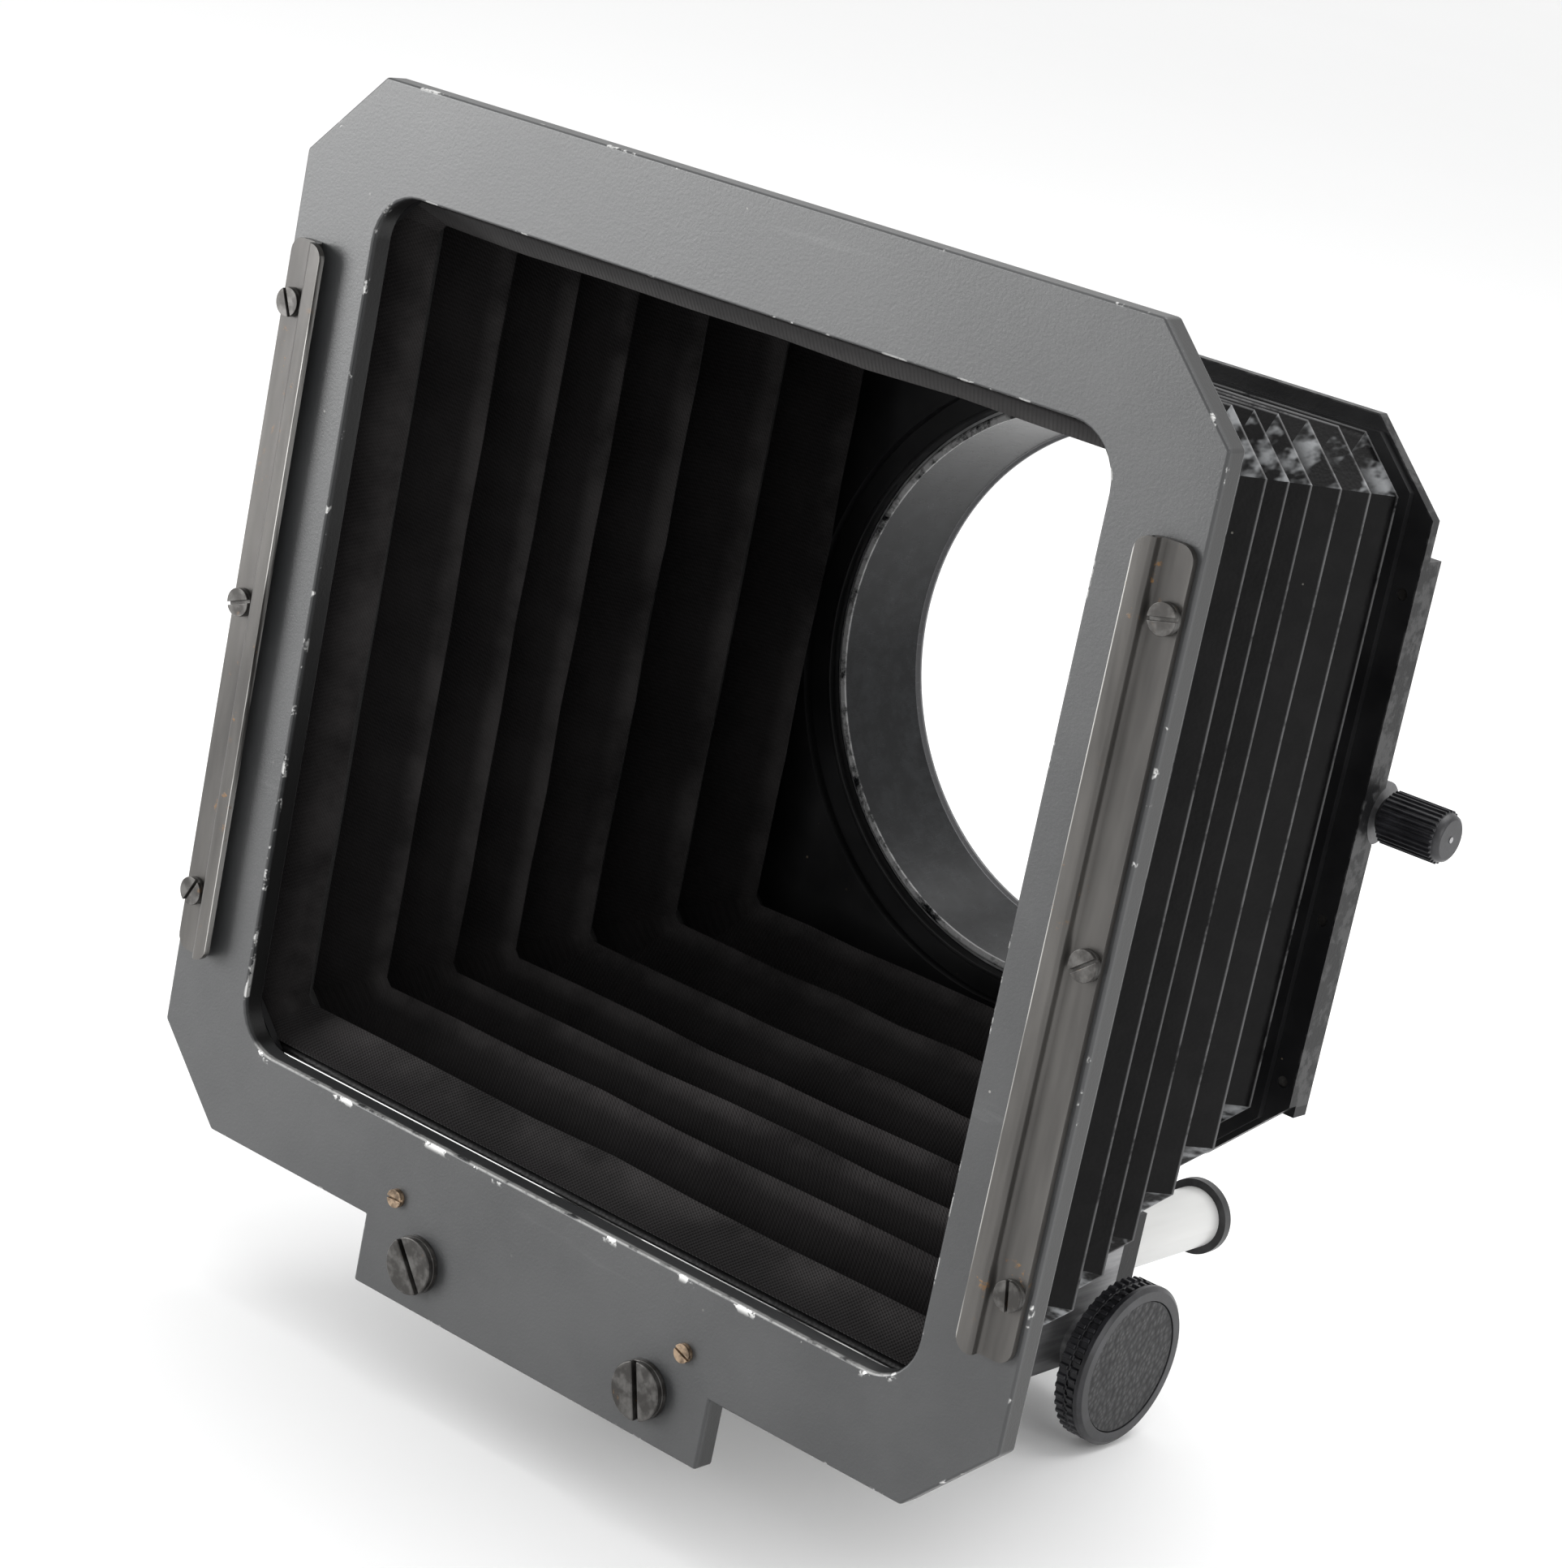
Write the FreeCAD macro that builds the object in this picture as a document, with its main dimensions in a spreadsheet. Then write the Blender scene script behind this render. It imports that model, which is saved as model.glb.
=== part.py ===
import FreeCAD, Part
import Sketcher
import math
import os
import re

from FreeCAD import Placement, Rotation, Vector

# A bellows lens hood for a large camera. Frame: the origin is the centre of the seat that meets the
# lens, +Y runs back along the lens axis towards the camera, +X is to the right and +Z is up.
# Stations along Y are named after the face they place, so the hood's front face is the lowest Y.

doc = FreeCAD.newDocument("BellowsLensHood")
sheet = doc.addObject("Spreadsheet::Sheet", "Sizes")

SIZES = [
    # front standard
    ("plate_half_x", 75.0), ("plate_half_z", 74.5), ("plate_thick", 3.5), ("plate_corner", 12.2),
    ("centre_z", -2.0), ("window_half_x", 60.5), ("window_half_z", 60.3), ("window_radius", 7.0),
    ("front_y", -105.5), ("tab_half_x", 31.4), ("tab_drop", 9.8), ("backing_thick", 3.0),
    ("backing_half_x", 29.0), ("backing_top_z", -69.5),
    # mask rails on the front plate
    ("rail_half_length", 50.8), ("rail_outer_x", 74.2), ("rail_wall_x", 70.2), ("rail_lip_x", 67.0),
    ("rail_sheet", 0.9), ("mask_slot", 1.7), ("rail_screw_x", 72.4), ("rail_screw_z", 42.0),
    ("small_head_radius", 2.0), ("small_head_high", 1.1), ("small_shank_radius", 1.0),
    ("small_reach", 2.6), ("hole_play", 0.03),
    # rods, their screws and stops
    ("rod_x", 20.8), ("rod_z", -79.5), ("rod_radius", 4.7), ("rod_end_y", 23.0),
    ("big_head_radius", 4.0), ("big_head_high", 1.8), ("big_shank_radius", 2.0), ("big_reach", 8.0),
    ("stop_ring_radius", 5.9), ("stop_ring_thick", 1.5), ("pin_x", 26.2), ("pin_z", -72.0),
    # bellows
    ("cloth_thick", 0.9), ("pleat_deep", 7.0), ("bellows_corner", 6.6), ("end_frame_thick", 1.2),
    ("bellows_front_x", 69.8), ("bellows_front_z", 65.6), ("bellows_back_x", 46.9),
    ("bellows_back_z", 51.5), ("rear_centre_z", -0.6),
    # rear standard
    ("rear_y", -13.5), ("rear_thick", 1.8), ("rear_half_x", 52.2), ("rear_top_z", 53.5),
    ("rear_foot_z", -54.9), ("rear_corner", 11.7), ("rear_hole_radius", 46.8),
    ("board_rail_top_z", 36.0), ("board_rail_foot_z", -45.0), ("board_rail_thick", 3.2),
    ("board_rail_wall_x", 48.2), ("board_rail_lip_x", 44.8), ("board_slot", 1.8),
    ("rear_screw_x", 50.2), ("rear_head_radius", 1.4), ("rear_head_high", 0.9),
    ("rear_shank_radius", 0.8), ("stop_pin_x", 30.0), ("stop_pin_z", -48.6), ("stop_pin_radius", 1.5),
    # lens board and ring
    ("board_play", 0.1), ("board_thick", 1.6), ("board_half_x", 48.0), ("board_top_z", 48.0),
    ("board_foot_z", -47.0), ("board_corner", 7.0), ("collar_radius", 43.8), ("collar_outer", 44.4),
    ("collar_bore", 42.75), ("collar_end_y", -2.5), ("collar_step_y", -8.6), ("collar_mouth", 43.3),
    ("ring_outer", 42.7), ("ring_front_y", -10.4), ("ring_mouth", 41.4), ("ring_waist", 39.3),
    ("ring_flange", 45.2), ("ring_flange_y", -2.5), ("thread_radius", 41.0), ("thread_long", 5.5),
    ("thread_bore", 38.8), ("clip_outer", 43.2), ("clip_inner", 42.1), ("clip_thick", 0.85),
    ("clip_y", -9.5),
    # carriage block, its covers and bushes
    ("block_half_x", 31.5), ("block_front_y", -47.5), ("block_top_z", -68.5), ("block_foot_z", -89.9),
    ("cover_thick", 2.5), ("bush_bore", 4.74), ("bush_outer", 6.2), ("bush_long", 6.5),
    ("rear_bush_y", -32.0), ("cover_screw_x", 7.0), ("cover_screw_top_z", -72.5),
    ("cover_screw_foot_z", -86.0), ("cover_head_radius", 2.2), ("cover_shank_radius", 1.25),
    # drive
    ("gear_module", 0.4), ("gear_teeth", 14), ("shaft_y", -20.0), ("shaft_radius", 1.5),
    ("shaft_left_x", 10.0), ("pinion_half_thick", 1.0), ("rack_half_thick", 1.2),
    ("rack_top_z", -82.33), ("rack_front_y", -71.0), ("rack_back_y", 17.0),
    ("knob_left_x", 36.1), ("knob_right_x", 40.6), ("knob_radius", 12.2), ("inlay_radius", 10.1),
    ("inlay_thick", 0.8), ("shaft_bush_outer", 2.6), ("shaft_bush_flange", 4.4),
    ("pocket_half_y", 3.7), ("pocket_half_x", 1.8), ("pinion_cover_thick", 1.0),
    # thumb screw
    ("screw_y", -6.5), ("screw_z", -0.6), ("boss_radius", 4.6), ("boss_left_x", 46.4), ("boss_right_x", 51.2),
    ("shoe_radius", 1.4), ("shoe_left_x", 44.45), ("shoe_right_x", 45.9), ("spindle_radius", 1.1),
    ("thumb_left_x", 52.0), ("thumb_right_x", 62.7), ("thumb_radius", 3.9), ("thread_play", 0.05),
]
# Where each outer fold of the bellows lies, as a share of the way from its front to its back.
FOLDS = (0.15, 0.28, 0.392, 0.51, 0.67, 0.84)
RAIL_SLOT_TURNS = (25, 110, 62, 8, 145, 80)

for row, (alias, value) in enumerate(SIZES, start=1):
    sheet.set(f"A{row}", alias.replace("_", " "))
    sheet.set(f"B{row}", str(value))
    sheet.setAlias(f"B{row}", alias)
doc.recompute()
ALIASES = {alias for alias, value in SIZES}


def size(alias):
    """The number that the sheet holds under this alias."""
    return float(getattr(sheet, alias))


def linked(formula):
    """The formula with each alias in it pointed at the sheet."""
    return re.sub(r"[a-z_]+", lambda m: f"Sizes.{m[0]}" if m[0] in ALIASES else m[0], str(formula))


def bind(target, **formulas):
    """Binds properties to formulas of the sheet's aliases."""
    for name, formula in formulas.items():
        target.setExpression(name, linked(formula))
    return target


def place(target, x="0", y="0", z="0"):
    for axis, formula in (("x", x), ("y", y), ("z", z)):
        target.setExpression(f"Placement.Base.{axis}", linked(formula))
    return target


# ---- primitives, whose sizes and places are all formulas ----

TURNS = {
    "X": Rotation(Vector(0, 1, 0), 90),
    "Y": Rotation(Vector(1, 0, 0), -90),
    "Z": Rotation(),
}


def block(name, x, y, z):
    """A box between two formulas along each axis."""
    made = doc.addObject("Part::Box", name)
    bind(made, Length=f"({x[1]}) - ({x[0]})", Width=f"({y[1]}) - ({y[0]})", Height=f"({z[1]}) - ({z[0]})")
    return place(made, x[0], y[0], z[0])


def round_bar(name, axis, radius, ends, across):
    """A cylinder along an axis, from one formula to another; across places it on the other two axes."""
    made = doc.addObject("Part::Cylinder", name)
    made.Placement = Placement(Vector(), TURNS[axis])
    bind(made, Radius=radius, Height=f"({ends[1]}) - ({ends[0]})")
    spot = list(across)
    spot.insert("XYZ".index(axis), ends[0])
    return place(made, *spot)


def combined(kind, name, pieces):
    made = doc.addObject(kind, name)
    if kind == "Part::Compound":
        made.Links = pieces
    else:
        made.Shapes = pieces
    return made


def joined(name, *pieces):
    return combined("Part::MultiFuse", name, list(pieces))


def group(name, pieces):
    """Identical loose pieces that share one node."""
    return combined("Part::Compound", name, list(pieces))


def less(name, base, *tools):
    made = doc.addObject("Part::Cut", name)
    made.Base = base
    made.Tool = tools[0] if len(tools) == 1 else group(f"{name}_cutters", tools)
    return made


# ---- sketched bodies ----


def sketch(body, name, role, offset, outline=(), circles=()):
    """A sketch on one of the body's own planes, with every corner, centre and radius tied to the sheet."""
    made = body.newObject("Sketcher::SketchObject", name)
    plane = next(p for p in body.Origin.OriginFeatures if p.Role == role)
    made.AttachmentSupport = [(plane, "")]
    made.MapMode = "FlatFace"
    made.setExpression("AttachmentOffset.Base.z", linked(offset))
    spots = [(evaluate(u), evaluate(v)) for u, v in outline]
    count = len(spots)
    for i, (u, v) in enumerate(spots):
        after = spots[(i + 1) % count]
        made.addGeometry(Part.LineSegment(Vector(u, v, 0), Vector(after[0], after[1], 0)))
    for i in range(count):
        made.addConstraint(Sketcher.Constraint("Coincident", i, 2, (i + 1) % count, 1))
    for i, (u, v) in enumerate(outline):
        tie(made, "DistanceX", i, 1, u)
        tie(made, "DistanceY", i, 1, v)
    for u, v, radius in circles:
        centre = Vector(evaluate(u), evaluate(v), 0)
        at = made.addGeometry(Part.Circle(centre, Vector(0, 0, 1), evaluate(radius)))
        tie(made, "DistanceX", at, 3, u)
        tie(made, "DistanceY", at, 3, v)
        mark = made.addConstraint(Sketcher.Constraint("Radius", at, evaluate(radius)))
        made.setExpression(f"Constraints[{mark}]", linked(radius))
    return made


def evaluate(formula):
    """The value of a formula of the sheet's aliases."""
    return float(sheet.evalExpression(linked(formula).replace("Sizes.", "")))


def tie(made, kind, part, end, formula):
    value = evaluate(formula)
    if abs(value) < 1e-9:
        onto = -2 if kind == "DistanceX" else -1
        made.addConstraint(Sketcher.Constraint("PointOnObject", part, end, onto))
        return
    mark = made.addConstraint(Sketcher.Constraint(kind, -1, 1, part, end, value))
    made.setExpression(f"Constraints[{mark}]", linked(formula))


def plate(name, front, thick, outline):
    """A flat piece standing across the lens axis, from its front face back. Its sketch sees X and Z."""
    body = doc.addObject("PartDesign::Body", name)
    face = sketch(body, f"{name}_outline", "XZ_Plane", f"0 - ({front})", outline)
    pad = body.newObject("PartDesign::Pad", f"{name}_pad")
    pad.Profile = face
    pad.Reversed = True
    bind(pad, Length=thick)
    doc.recompute()
    return body


def pierced(body, name, front, outline=(), circles=()):
    """Cuts an outline or circles right through a plate."""
    before = body.Shape.Volume
    face = sketch(body, name, "XZ_Plane", f"0 - ({front}) + 1", outline, circles)
    pocket = body.newObject("PartDesign::Pocket", f"{name}_cut")
    pocket.Profile = face
    pocket.Type = 1
    doc.recompute()
    if not body.Shape.Volume < before - 0.1:
        raise RuntimeError(f"{name} cuts nothing")
    return body


def rounded(body, radius, corners):
    """Rounds the edges along Y that stand at the given X, Z corners."""
    def stands(edge):
        ends = [v.Point for v in edge.Vertexes]
        if len(ends) != 2 or abs(ends[0].y - ends[1].y) < 0.5:
            return False
        return any(math.hypot(ends[0].x - x, ends[0].z - z) < 0.05 for x, z in corners)
    names = [f"Edge{i}" for i, edge in enumerate(body.Shape.Edges, 1) if stands(edge)]
    before = body.Tip
    fillet = body.newObject("PartDesign::Fillet", f"{body.Name}_rounds")
    fillet.Base = (before, names)
    bind(fillet, Radius=radius)
    doc.recompute()
    return body


def turned(name, axis_role, outline, x="0", y="0", z="0"):
    """A lathe-turned piece. The outline gives (along, radius) and turns about the sketch's own H axis."""
    body = doc.addObject("PartDesign::Body", name)
    profile = sketch(body, f"{name}_profile", axis_role, "0", outline)
    spun = body.newObject("PartDesign::Revolution", f"{name}_spin")
    spun.Profile = profile
    spun.ReferenceAxis = (profile, ["H_Axis"])
    spun.Angle = 360
    doc.recompute()
    return place(body, x, y, z)


def corners_of(left, right, foot, top, cut):
    """The eight corners of an upright rectangle with its corners cut at 45 degrees."""
    return [
        (f"{left} + {cut}", foot), (f"{right} - {cut}", foot),
        (right, f"{foot} + {cut}"), (right, f"{top} - {cut}"),
        (f"{right} - {cut}", top), (f"{left} + {cut}", top),
        (left, f"{top} - {cut}"), (left, f"{foot} + {cut}"),
    ]


def with_tab(outline, foot, half, drop_to):
    """Adds a tab that hangs from the middle of the lower edge."""
    tab = [(f"-{half}", foot), (f"-{half}", drop_to), (half, drop_to), (half, foot)]
    return [outline[0], *tab, *outline[1:]]


def slotted_screw(name, x, z, seat_y, outward, head, high, shank, reach, turn=0.0, slot=0.28):
    """A slotted screw along Y. outward is -1 for a head in front of its seat and 1 for one behind it."""
    out = f"({seat_y}) + ({outward}) * ({high})"
    deep = f"({seat_y}) - ({outward}) * ({reach})"
    ends = (out, seat_y) if outward < 0 else (seat_y, out)
    stem = (seat_y, deep) if outward < 0 else (deep, seat_y)
    cap = round_bar(f"{name}_head", "Y", head, ends, (x, z))
    body = round_bar(f"{name}_shank", "Y", shank, stem, (x, z))
    cutter = doc.addObject("Part::Box", f"{name}_slot")
    bind(cutter, Length=f"2.4 * {head}", Width=f"0.5 * {high}", Height=f"{slot} * {head}")
    spin = Rotation(Vector(0, 1, 0), turn)
    shift = spin.multVec(Vector(-1.2 * evaluate(head), 0, -0.5 * slot * evaluate(head)))
    cutter.Placement = Placement(Vector(), spin)
    start = out if outward < 0 else f"({out}) - 0.5 * {high}"
    place(cutter, f"({x}) + {shift.x}", start, f"({z}) + {shift.z}")
    return less(name, joined(f"{name}_blank", cap, body), cutter)


PARTS = []


def keep(label, made):
    """Names a finished sub-part; the label is also its file's name."""
    made.Label = label
    PARTS.append(made)
    return made


# ---- front standard: plate, mask rails and rods ----

FRONT_BACK = "(front_y + plate_thick)"
BACKING_BACK = "(front_y + plate_thick + backing_thick)"
TAB_FOOT = "(centre_z - plate_half_z - tab_drop)"

front_outline = corners_of(
    "-plate_half_x", "plate_half_x", "(centre_z - plate_half_z)", "(centre_z + plate_half_z)", "plate_corner"
)
front_plate = plate(
    "front_plate", "front_y", "plate_thick",
    with_tab(front_outline, "(centre_z - plate_half_z)", "tab_half_x", TAB_FOOT),
)
window = [
    ("-window_half_x", "centre_z - window_half_z"), ("window_half_x", "centre_z - window_half_z"),
    ("window_half_x", "centre_z + window_half_z"), ("-window_half_x", "centre_z + window_half_z"),
]
pierced(front_plate, "front_window", "front_y", outline=window)
rounded(front_plate, "window_radius", [(evaluate(u), evaluate(v)) for u, v in window])
rail_spots = [
    (f"{side} * rail_screw_x", f"centre_z + {step} * rail_screw_z") for side in (-1, 1) for step in (1, 0, -1)
]
front_holes = [(x, z, "small_shank_radius + hole_play") for x, z in rail_spots]
front_holes += [(f"{side} * rod_x", "rod_z", "big_shank_radius + hole_play") for side in (-1, 1)]
front_holes += [(f"{side} * pin_x", "pin_z", "0.8 + hole_play") for side in (-1, 1)]
keep("front_plate", pierced(front_plate, "front_plate_holes", "front_y", circles=front_holes))


def mask_rail(name, side):
    """A strip bent to a Z: a foot screwed to the plate, a short wall, and a lip over the mask."""
    body = doc.addObject("PartDesign::Body", name)
    lip = "front_y - mask_slot"
    section = [
        (f"{side} * rail_outer_x", "front_y"), (f"{side} * (rail_wall_x - rail_sheet)", "front_y"),
        (f"{side} * (rail_wall_x - rail_sheet)", lip), (f"{side} * rail_lip_x", lip),
        (f"{side} * rail_lip_x", f"{lip} - rail_sheet"), (f"{side} * rail_wall_x", f"{lip} - rail_sheet"),
        (f"{side} * rail_wall_x", "front_y - rail_sheet"), (f"{side} * rail_outer_x", "front_y - rail_sheet"),
    ]
    face = sketch(body, f"{name}_section", "XY_Plane", "centre_z - rail_half_length", section)
    pad = body.newObject("PartDesign::Pad", f"{name}_pad")
    pad.Profile = face
    bind(pad, Length="2 * rail_half_length")
    doc.recompute()
    spots = [spot for spot in front_holes[:6] if evaluate(spot[0]) * side > 0]
    return keep(name, pierced(body, f"{name}_holes", "front_y - 3", circles=spots))


mask_rail("front_rail_left", -1)
mask_rail("front_rail_right", 1)
keep("front_rail_screws", group("front_rail_screws", [
    slotted_screw(
        f"front_rail_screw_{i}", x, z, "(front_y - rail_sheet)", -1, "small_head_radius",
        "small_head_high", "small_shank_radius", "small_reach", RAIL_SLOT_TURNS[i],
    )
    for i, (x, z) in enumerate(rail_spots)
]))

backing = block(
    "backing_blank", ("-backing_half_x", "backing_half_x"), (FRONT_BACK, BACKING_BACK),
    (f"{TAB_FOOT} + 1", "backing_top_z"),
)
backing_holes = [
    round_bar(f"backing_hole_{side}", "Y", "big_shank_radius + hole_play",
              (f"{FRONT_BACK} - 1", f"{BACKING_BACK} + 1"), (f"{side} * rod_x", "rod_z"))
    for side in (-1, 1)
] + [
    round_bar(f"backing_tap_{side}", "Y", "0.8 + hole_play",
              (f"{FRONT_BACK} - 1", f"{BACKING_BACK} + 1"), (f"{side} * pin_x", "pin_z"))
    for side in (-1, 1)
]
keep("backing_plate", less("backing_plate", backing, *backing_holes))
keep("tab_screws", group("tab_screws", [
    slotted_screw(
        f"tab_screw_{i}", f"{side} * rod_x", "rod_z", "front_y", -1, "big_head_radius", "big_head_high",
        "big_shank_radius", "plate_thick + backing_thick + big_reach", turn, 0.25,
    )
    for i, (side, turn) in enumerate(((-1, 62), (1, 88)))
]))
keep("backing_screws", group("backing_screws", [
    slotted_screw(
        f"backing_screw_{i}", f"{side} * pin_x", "pin_z", "front_y", -1, "stop_pin_radius * 0.85",
        "small_head_high", "rear_shank_radius", "plate_thick + 2", turn,
    )
    for i, (side, turn) in enumerate(((-1, 15), (1, -8)))
]))

PITCH_RADIUS = "(gear_module * gear_teeth / 2)"
SHAFT_Z = f"(rack_top_z - 1.4 - {PITCH_RADIUS})"


def guide_rod(name, side, keyed):
    """A ground rod screwed to the tab. The right one has a keyway that holds the rack."""
    x = f"{side} * rod_x"
    blank = round_bar(f"{name}_blank", "Y", "rod_radius", (BACKING_BACK, "rod_end_y"), (x, "rod_z"))
    cutters = [
        round_bar(f"{name}_tap", "Y", "big_shank_radius + hole_play",
                  (f"{BACKING_BACK} - 1", f"{BACKING_BACK} + big_reach + 1"), (x, "rod_z")),
        round_bar(f"{name}_end_tap", "Y", "small_shank_radius + hole_play",
                  ("rod_end_y - 7", "rod_end_y + 1"), (x, "rod_z")),
    ]
    if keyed:
        cutters.append(block(
            f"{name}_keyway", (f"{x} - rack_half_thick - 0.02", f"{x} + rack_half_thick + 0.02"),
            ("rack_front_y - 0.2", "rack_back_y + 0.2"), ("rod_z - rod_radius - 1", "rack_top_z"),
        ))
    return keep(name, less(name, blank, *cutters))


guide_rod("rod_left", -1, False)
guide_rod("rod_right", 1, True)

rings = []
for side in (-1, 1):
    spot = (f"{side} * rod_x", "rod_z")
    disc = round_bar(f"stop_disc_{side}", "Y", "stop_ring_radius", ("rod_end_y", "rod_end_y + stop_ring_thick"), spot)
    hole = round_bar(f"stop_hole_{side}", "Y", "small_shank_radius + hole_play",
                     ("rod_end_y - 1", "rod_end_y + stop_ring_thick + 1"), spot)
    rings.append(less(f"stop_ring_{side}", disc, hole))
keep("rod_end_rings", group("rod_end_rings", rings))
keep("rod_end_screws", group("rod_end_screws", [
    slotted_screw(
        f"rod_end_screw_{i}", f"{side} * rod_x", "rod_z", "(rod_end_y + stop_ring_thick)", 1,
        "small_head_radius", "small_head_high", "small_shank_radius", "stop_ring_thick + 5", 40 * side,
    )
    for i, side in enumerate((-1, 1))
]))

# ---- bellows and the two frames that hold it ----


def bellows_frame(name, front, centre, half_x, half_z, inner_x, inner_z):
    """A flat eight-sided frame that the end of the bellows is glued to."""
    ring = plate(name, front, "end_frame_thick", corners_of(
        f"-{half_x}", half_x, f"({centre} - {half_z})", f"({centre} + {half_z})", "bellows_corner"))
    opening = corners_of(
        f"-{inner_x}", inner_x, f"({centre} - {inner_z})", f"({centre} + {inner_z})", "bellows_corner")
    return keep(name, pierced(ring, f"{name}_opening", front, outline=opening))


BELLOWS_FRONT = "(front_y + plate_thick + end_frame_thick)"
BELLOWS_BACK = "(rear_y - end_frame_thick)"
bellows_frame("bellows_front_frame", FRONT_BACK, "centre_z", "(bellows_front_x + 1)", "(bellows_front_z + 1)",
              "(window_half_x + 1.5)", "(window_half_z + 1)")
bellows_frame("bellows_rear_frame", BELLOWS_BACK, "rear_centre_z", "(bellows_back_x + 1.5)", "(bellows_back_z + 0.4)",
              "(bellows_back_x - cloth_thick)", "(bellows_back_z - cloth_thick)")


def bellows_shell():
    """A closed pleated wall: eight-sided rings at each fold, joined by flat panels, outside and inside."""
    front, back = evaluate(BELLOWS_FRONT), evaluate(BELLOWS_BACK)
    outer_shares = [0.0, *FOLDS, 1.0]
    stations = []
    for here, after in zip(outer_shares, outer_shares[1:]):
        stations += [(here, 0.0), ((here + after) / 2, size("pleat_deep"))]
    stations.append((1.0, 0.0))

    def ring_at(share, inward):
        half_x = size("bellows_front_x") + share * (size("bellows_back_x") - size("bellows_front_x")) - inward
        half_z = size("bellows_front_z") + share * (size("bellows_back_z") - size("bellows_front_z")) - inward
        cut = size("bellows_corner") - 0.59 * inward
        y = front + share * (back - front)
        z = size("centre_z") + share * (size("rear_centre_z") - size("centre_z"))
        return [
            Vector(-half_x + cut, y, z - half_z), Vector(half_x - cut, y, z - half_z),
            Vector(half_x, y, z - half_z + cut), Vector(half_x, y, z + half_z - cut),
            Vector(half_x - cut, y, z + half_z), Vector(-half_x + cut, y, z + half_z),
            Vector(-half_x, y, z + half_z - cut), Vector(-half_x, y, z - half_z + cut),
        ]

    def walls(extra):
        rings = [ring_at(share, inward + extra) for share, inward in stations]
        faces = []
        for ring, following in zip(rings, rings[1:]):
            for i in range(8):
                j = (i + 1) % 8
                faces.append(Part.Face(Part.makePolygon([ring[i], ring[j], following[j], following[i], ring[i]])))
        return faces, rings[0], rings[-1]

    outside, front_out, back_out = walls(0.0)
    inside, front_in, back_in = walls(size("cloth_thick"))
    ends = []
    for outer, inner in ((front_out, front_in), (back_out, back_in)):
        rim = Part.Face(Part.makePolygon([*outer, outer[0]]))
        ends.append(rim.cut(Part.Face(Part.makePolygon([*inner, inner[0]]))).Faces[0])
    shell = Part.makeShell([*outside, *inside, *ends])
    shell.sewShape()
    solid = Part.makeSolid(shell)
    if solid.Volume < 0:
        solid.reverse()
    return solid


bellows = doc.addObject("Part::Feature", "bellows")
bellows.Shape = bellows_shell()
keep("bellows", bellows)

# ---- rear standard: plate with its tab, board rails and clamp boss ----

REAR_BACK = "(rear_y + rear_thick)"
RAIL_BACK = "(rear_y + rear_thick + board_rail_thick)"
rear_plate = plate(
    "rear_plate", "rear_y", "rear_thick",
    with_tab(corners_of("-rear_half_x", "rear_half_x", "rear_foot_z", "rear_top_z", "rear_corner"),
             "rear_foot_z", "block_half_x", "block_foot_z"),
)
pierced(rear_plate, "rear_plate_hole", "rear_y", circles=[("0", "0", "rear_hole_radius")])
rear_spots = [(f"{side} * rear_screw_x", str(z)) for side in (-1, 1) for z in (31, -16, -40)]
cover_spots = [
    (f"{side} * cover_screw_x", z) for side in (-1, 1) for z in ("cover_screw_top_z", "cover_screw_foot_z")
]
rear_holes = [(x, z, "rear_shank_radius + hole_play") for x, z in rear_spots]
rear_holes += [(x, z, "cover_shank_radius + hole_play") for x, z in cover_spots]
rear_holes += [(f"{side} * stop_pin_x", "stop_pin_z", "stop_pin_radius") for side in (-1, 1)]
rear_holes += [(f"{side} * rod_x", "rod_z", "rod_radius + 0.3") for side in (-1, 1)]
keep("rear_plate", pierced(rear_plate, "rear_plate_holes", "rear_y", circles=rear_holes))


def board_rail(name, side):
    """A bar: its wall stands on the plate and its lip overhangs the lens board."""
    def span(inner, outer):
        return (f"{side} * {inner}", f"{side} * {outer}") if side > 0 else (f"{side} * {outer}", f"{side} * {inner}")
    long = ("board_rail_foot_z", "board_rail_top_z")
    wall = block(f"{name}_wall", span("board_rail_wall_x", "rear_half_x"), (REAR_BACK, RAIL_BACK), long)
    lip = block(f"{name}_lip", span("board_rail_lip_x", "board_rail_wall_x"),
                (f"{REAR_BACK} + board_slot", RAIL_BACK), long)
    cutters = [
        round_bar(f"{name}_hole_{i}", "Y", "rear_shank_radius + hole_play",
                  (f"{REAR_BACK} - 1", f"{RAIL_BACK} + 1"), spot)
        for i, spot in enumerate(rear_spots) if (i > 2) == (side > 0)
    ]
    if side > 0:
        cutters.append(round_bar(f"{name}_saddle", "X", "boss_radius",
                                 ("boss_left_x - 3", "rear_half_x + 1"), ("screw_y", "screw_z")))
    return keep(name, less(name, joined(f"{name}_blank", wall, lip), *cutters))


board_rail("rear_rail_left", -1)
board_rail("rear_rail_right", 1)
keep("rear_rail_screws", group("rear_rail_screws", [
    slotted_screw(
        f"rear_rail_screw_{i}", x, z, RAIL_BACK, 1, "rear_head_radius", "rear_head_high",
        "rear_shank_radius", "board_rail_thick + rear_thick - 0.3", 20 + 35 * i,
    )
    for i, (x, z) in enumerate(rear_spots)
]))
keep("board_stops", group("board_stops", [
    round_bar(f"board_stop_{side}", "Y", "stop_pin_radius", ("rear_y", f"{REAR_BACK} + board_slot"),
              (f"{side} * stop_pin_x", "stop_pin_z"))
    for side in (-1, 1)
]))

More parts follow.
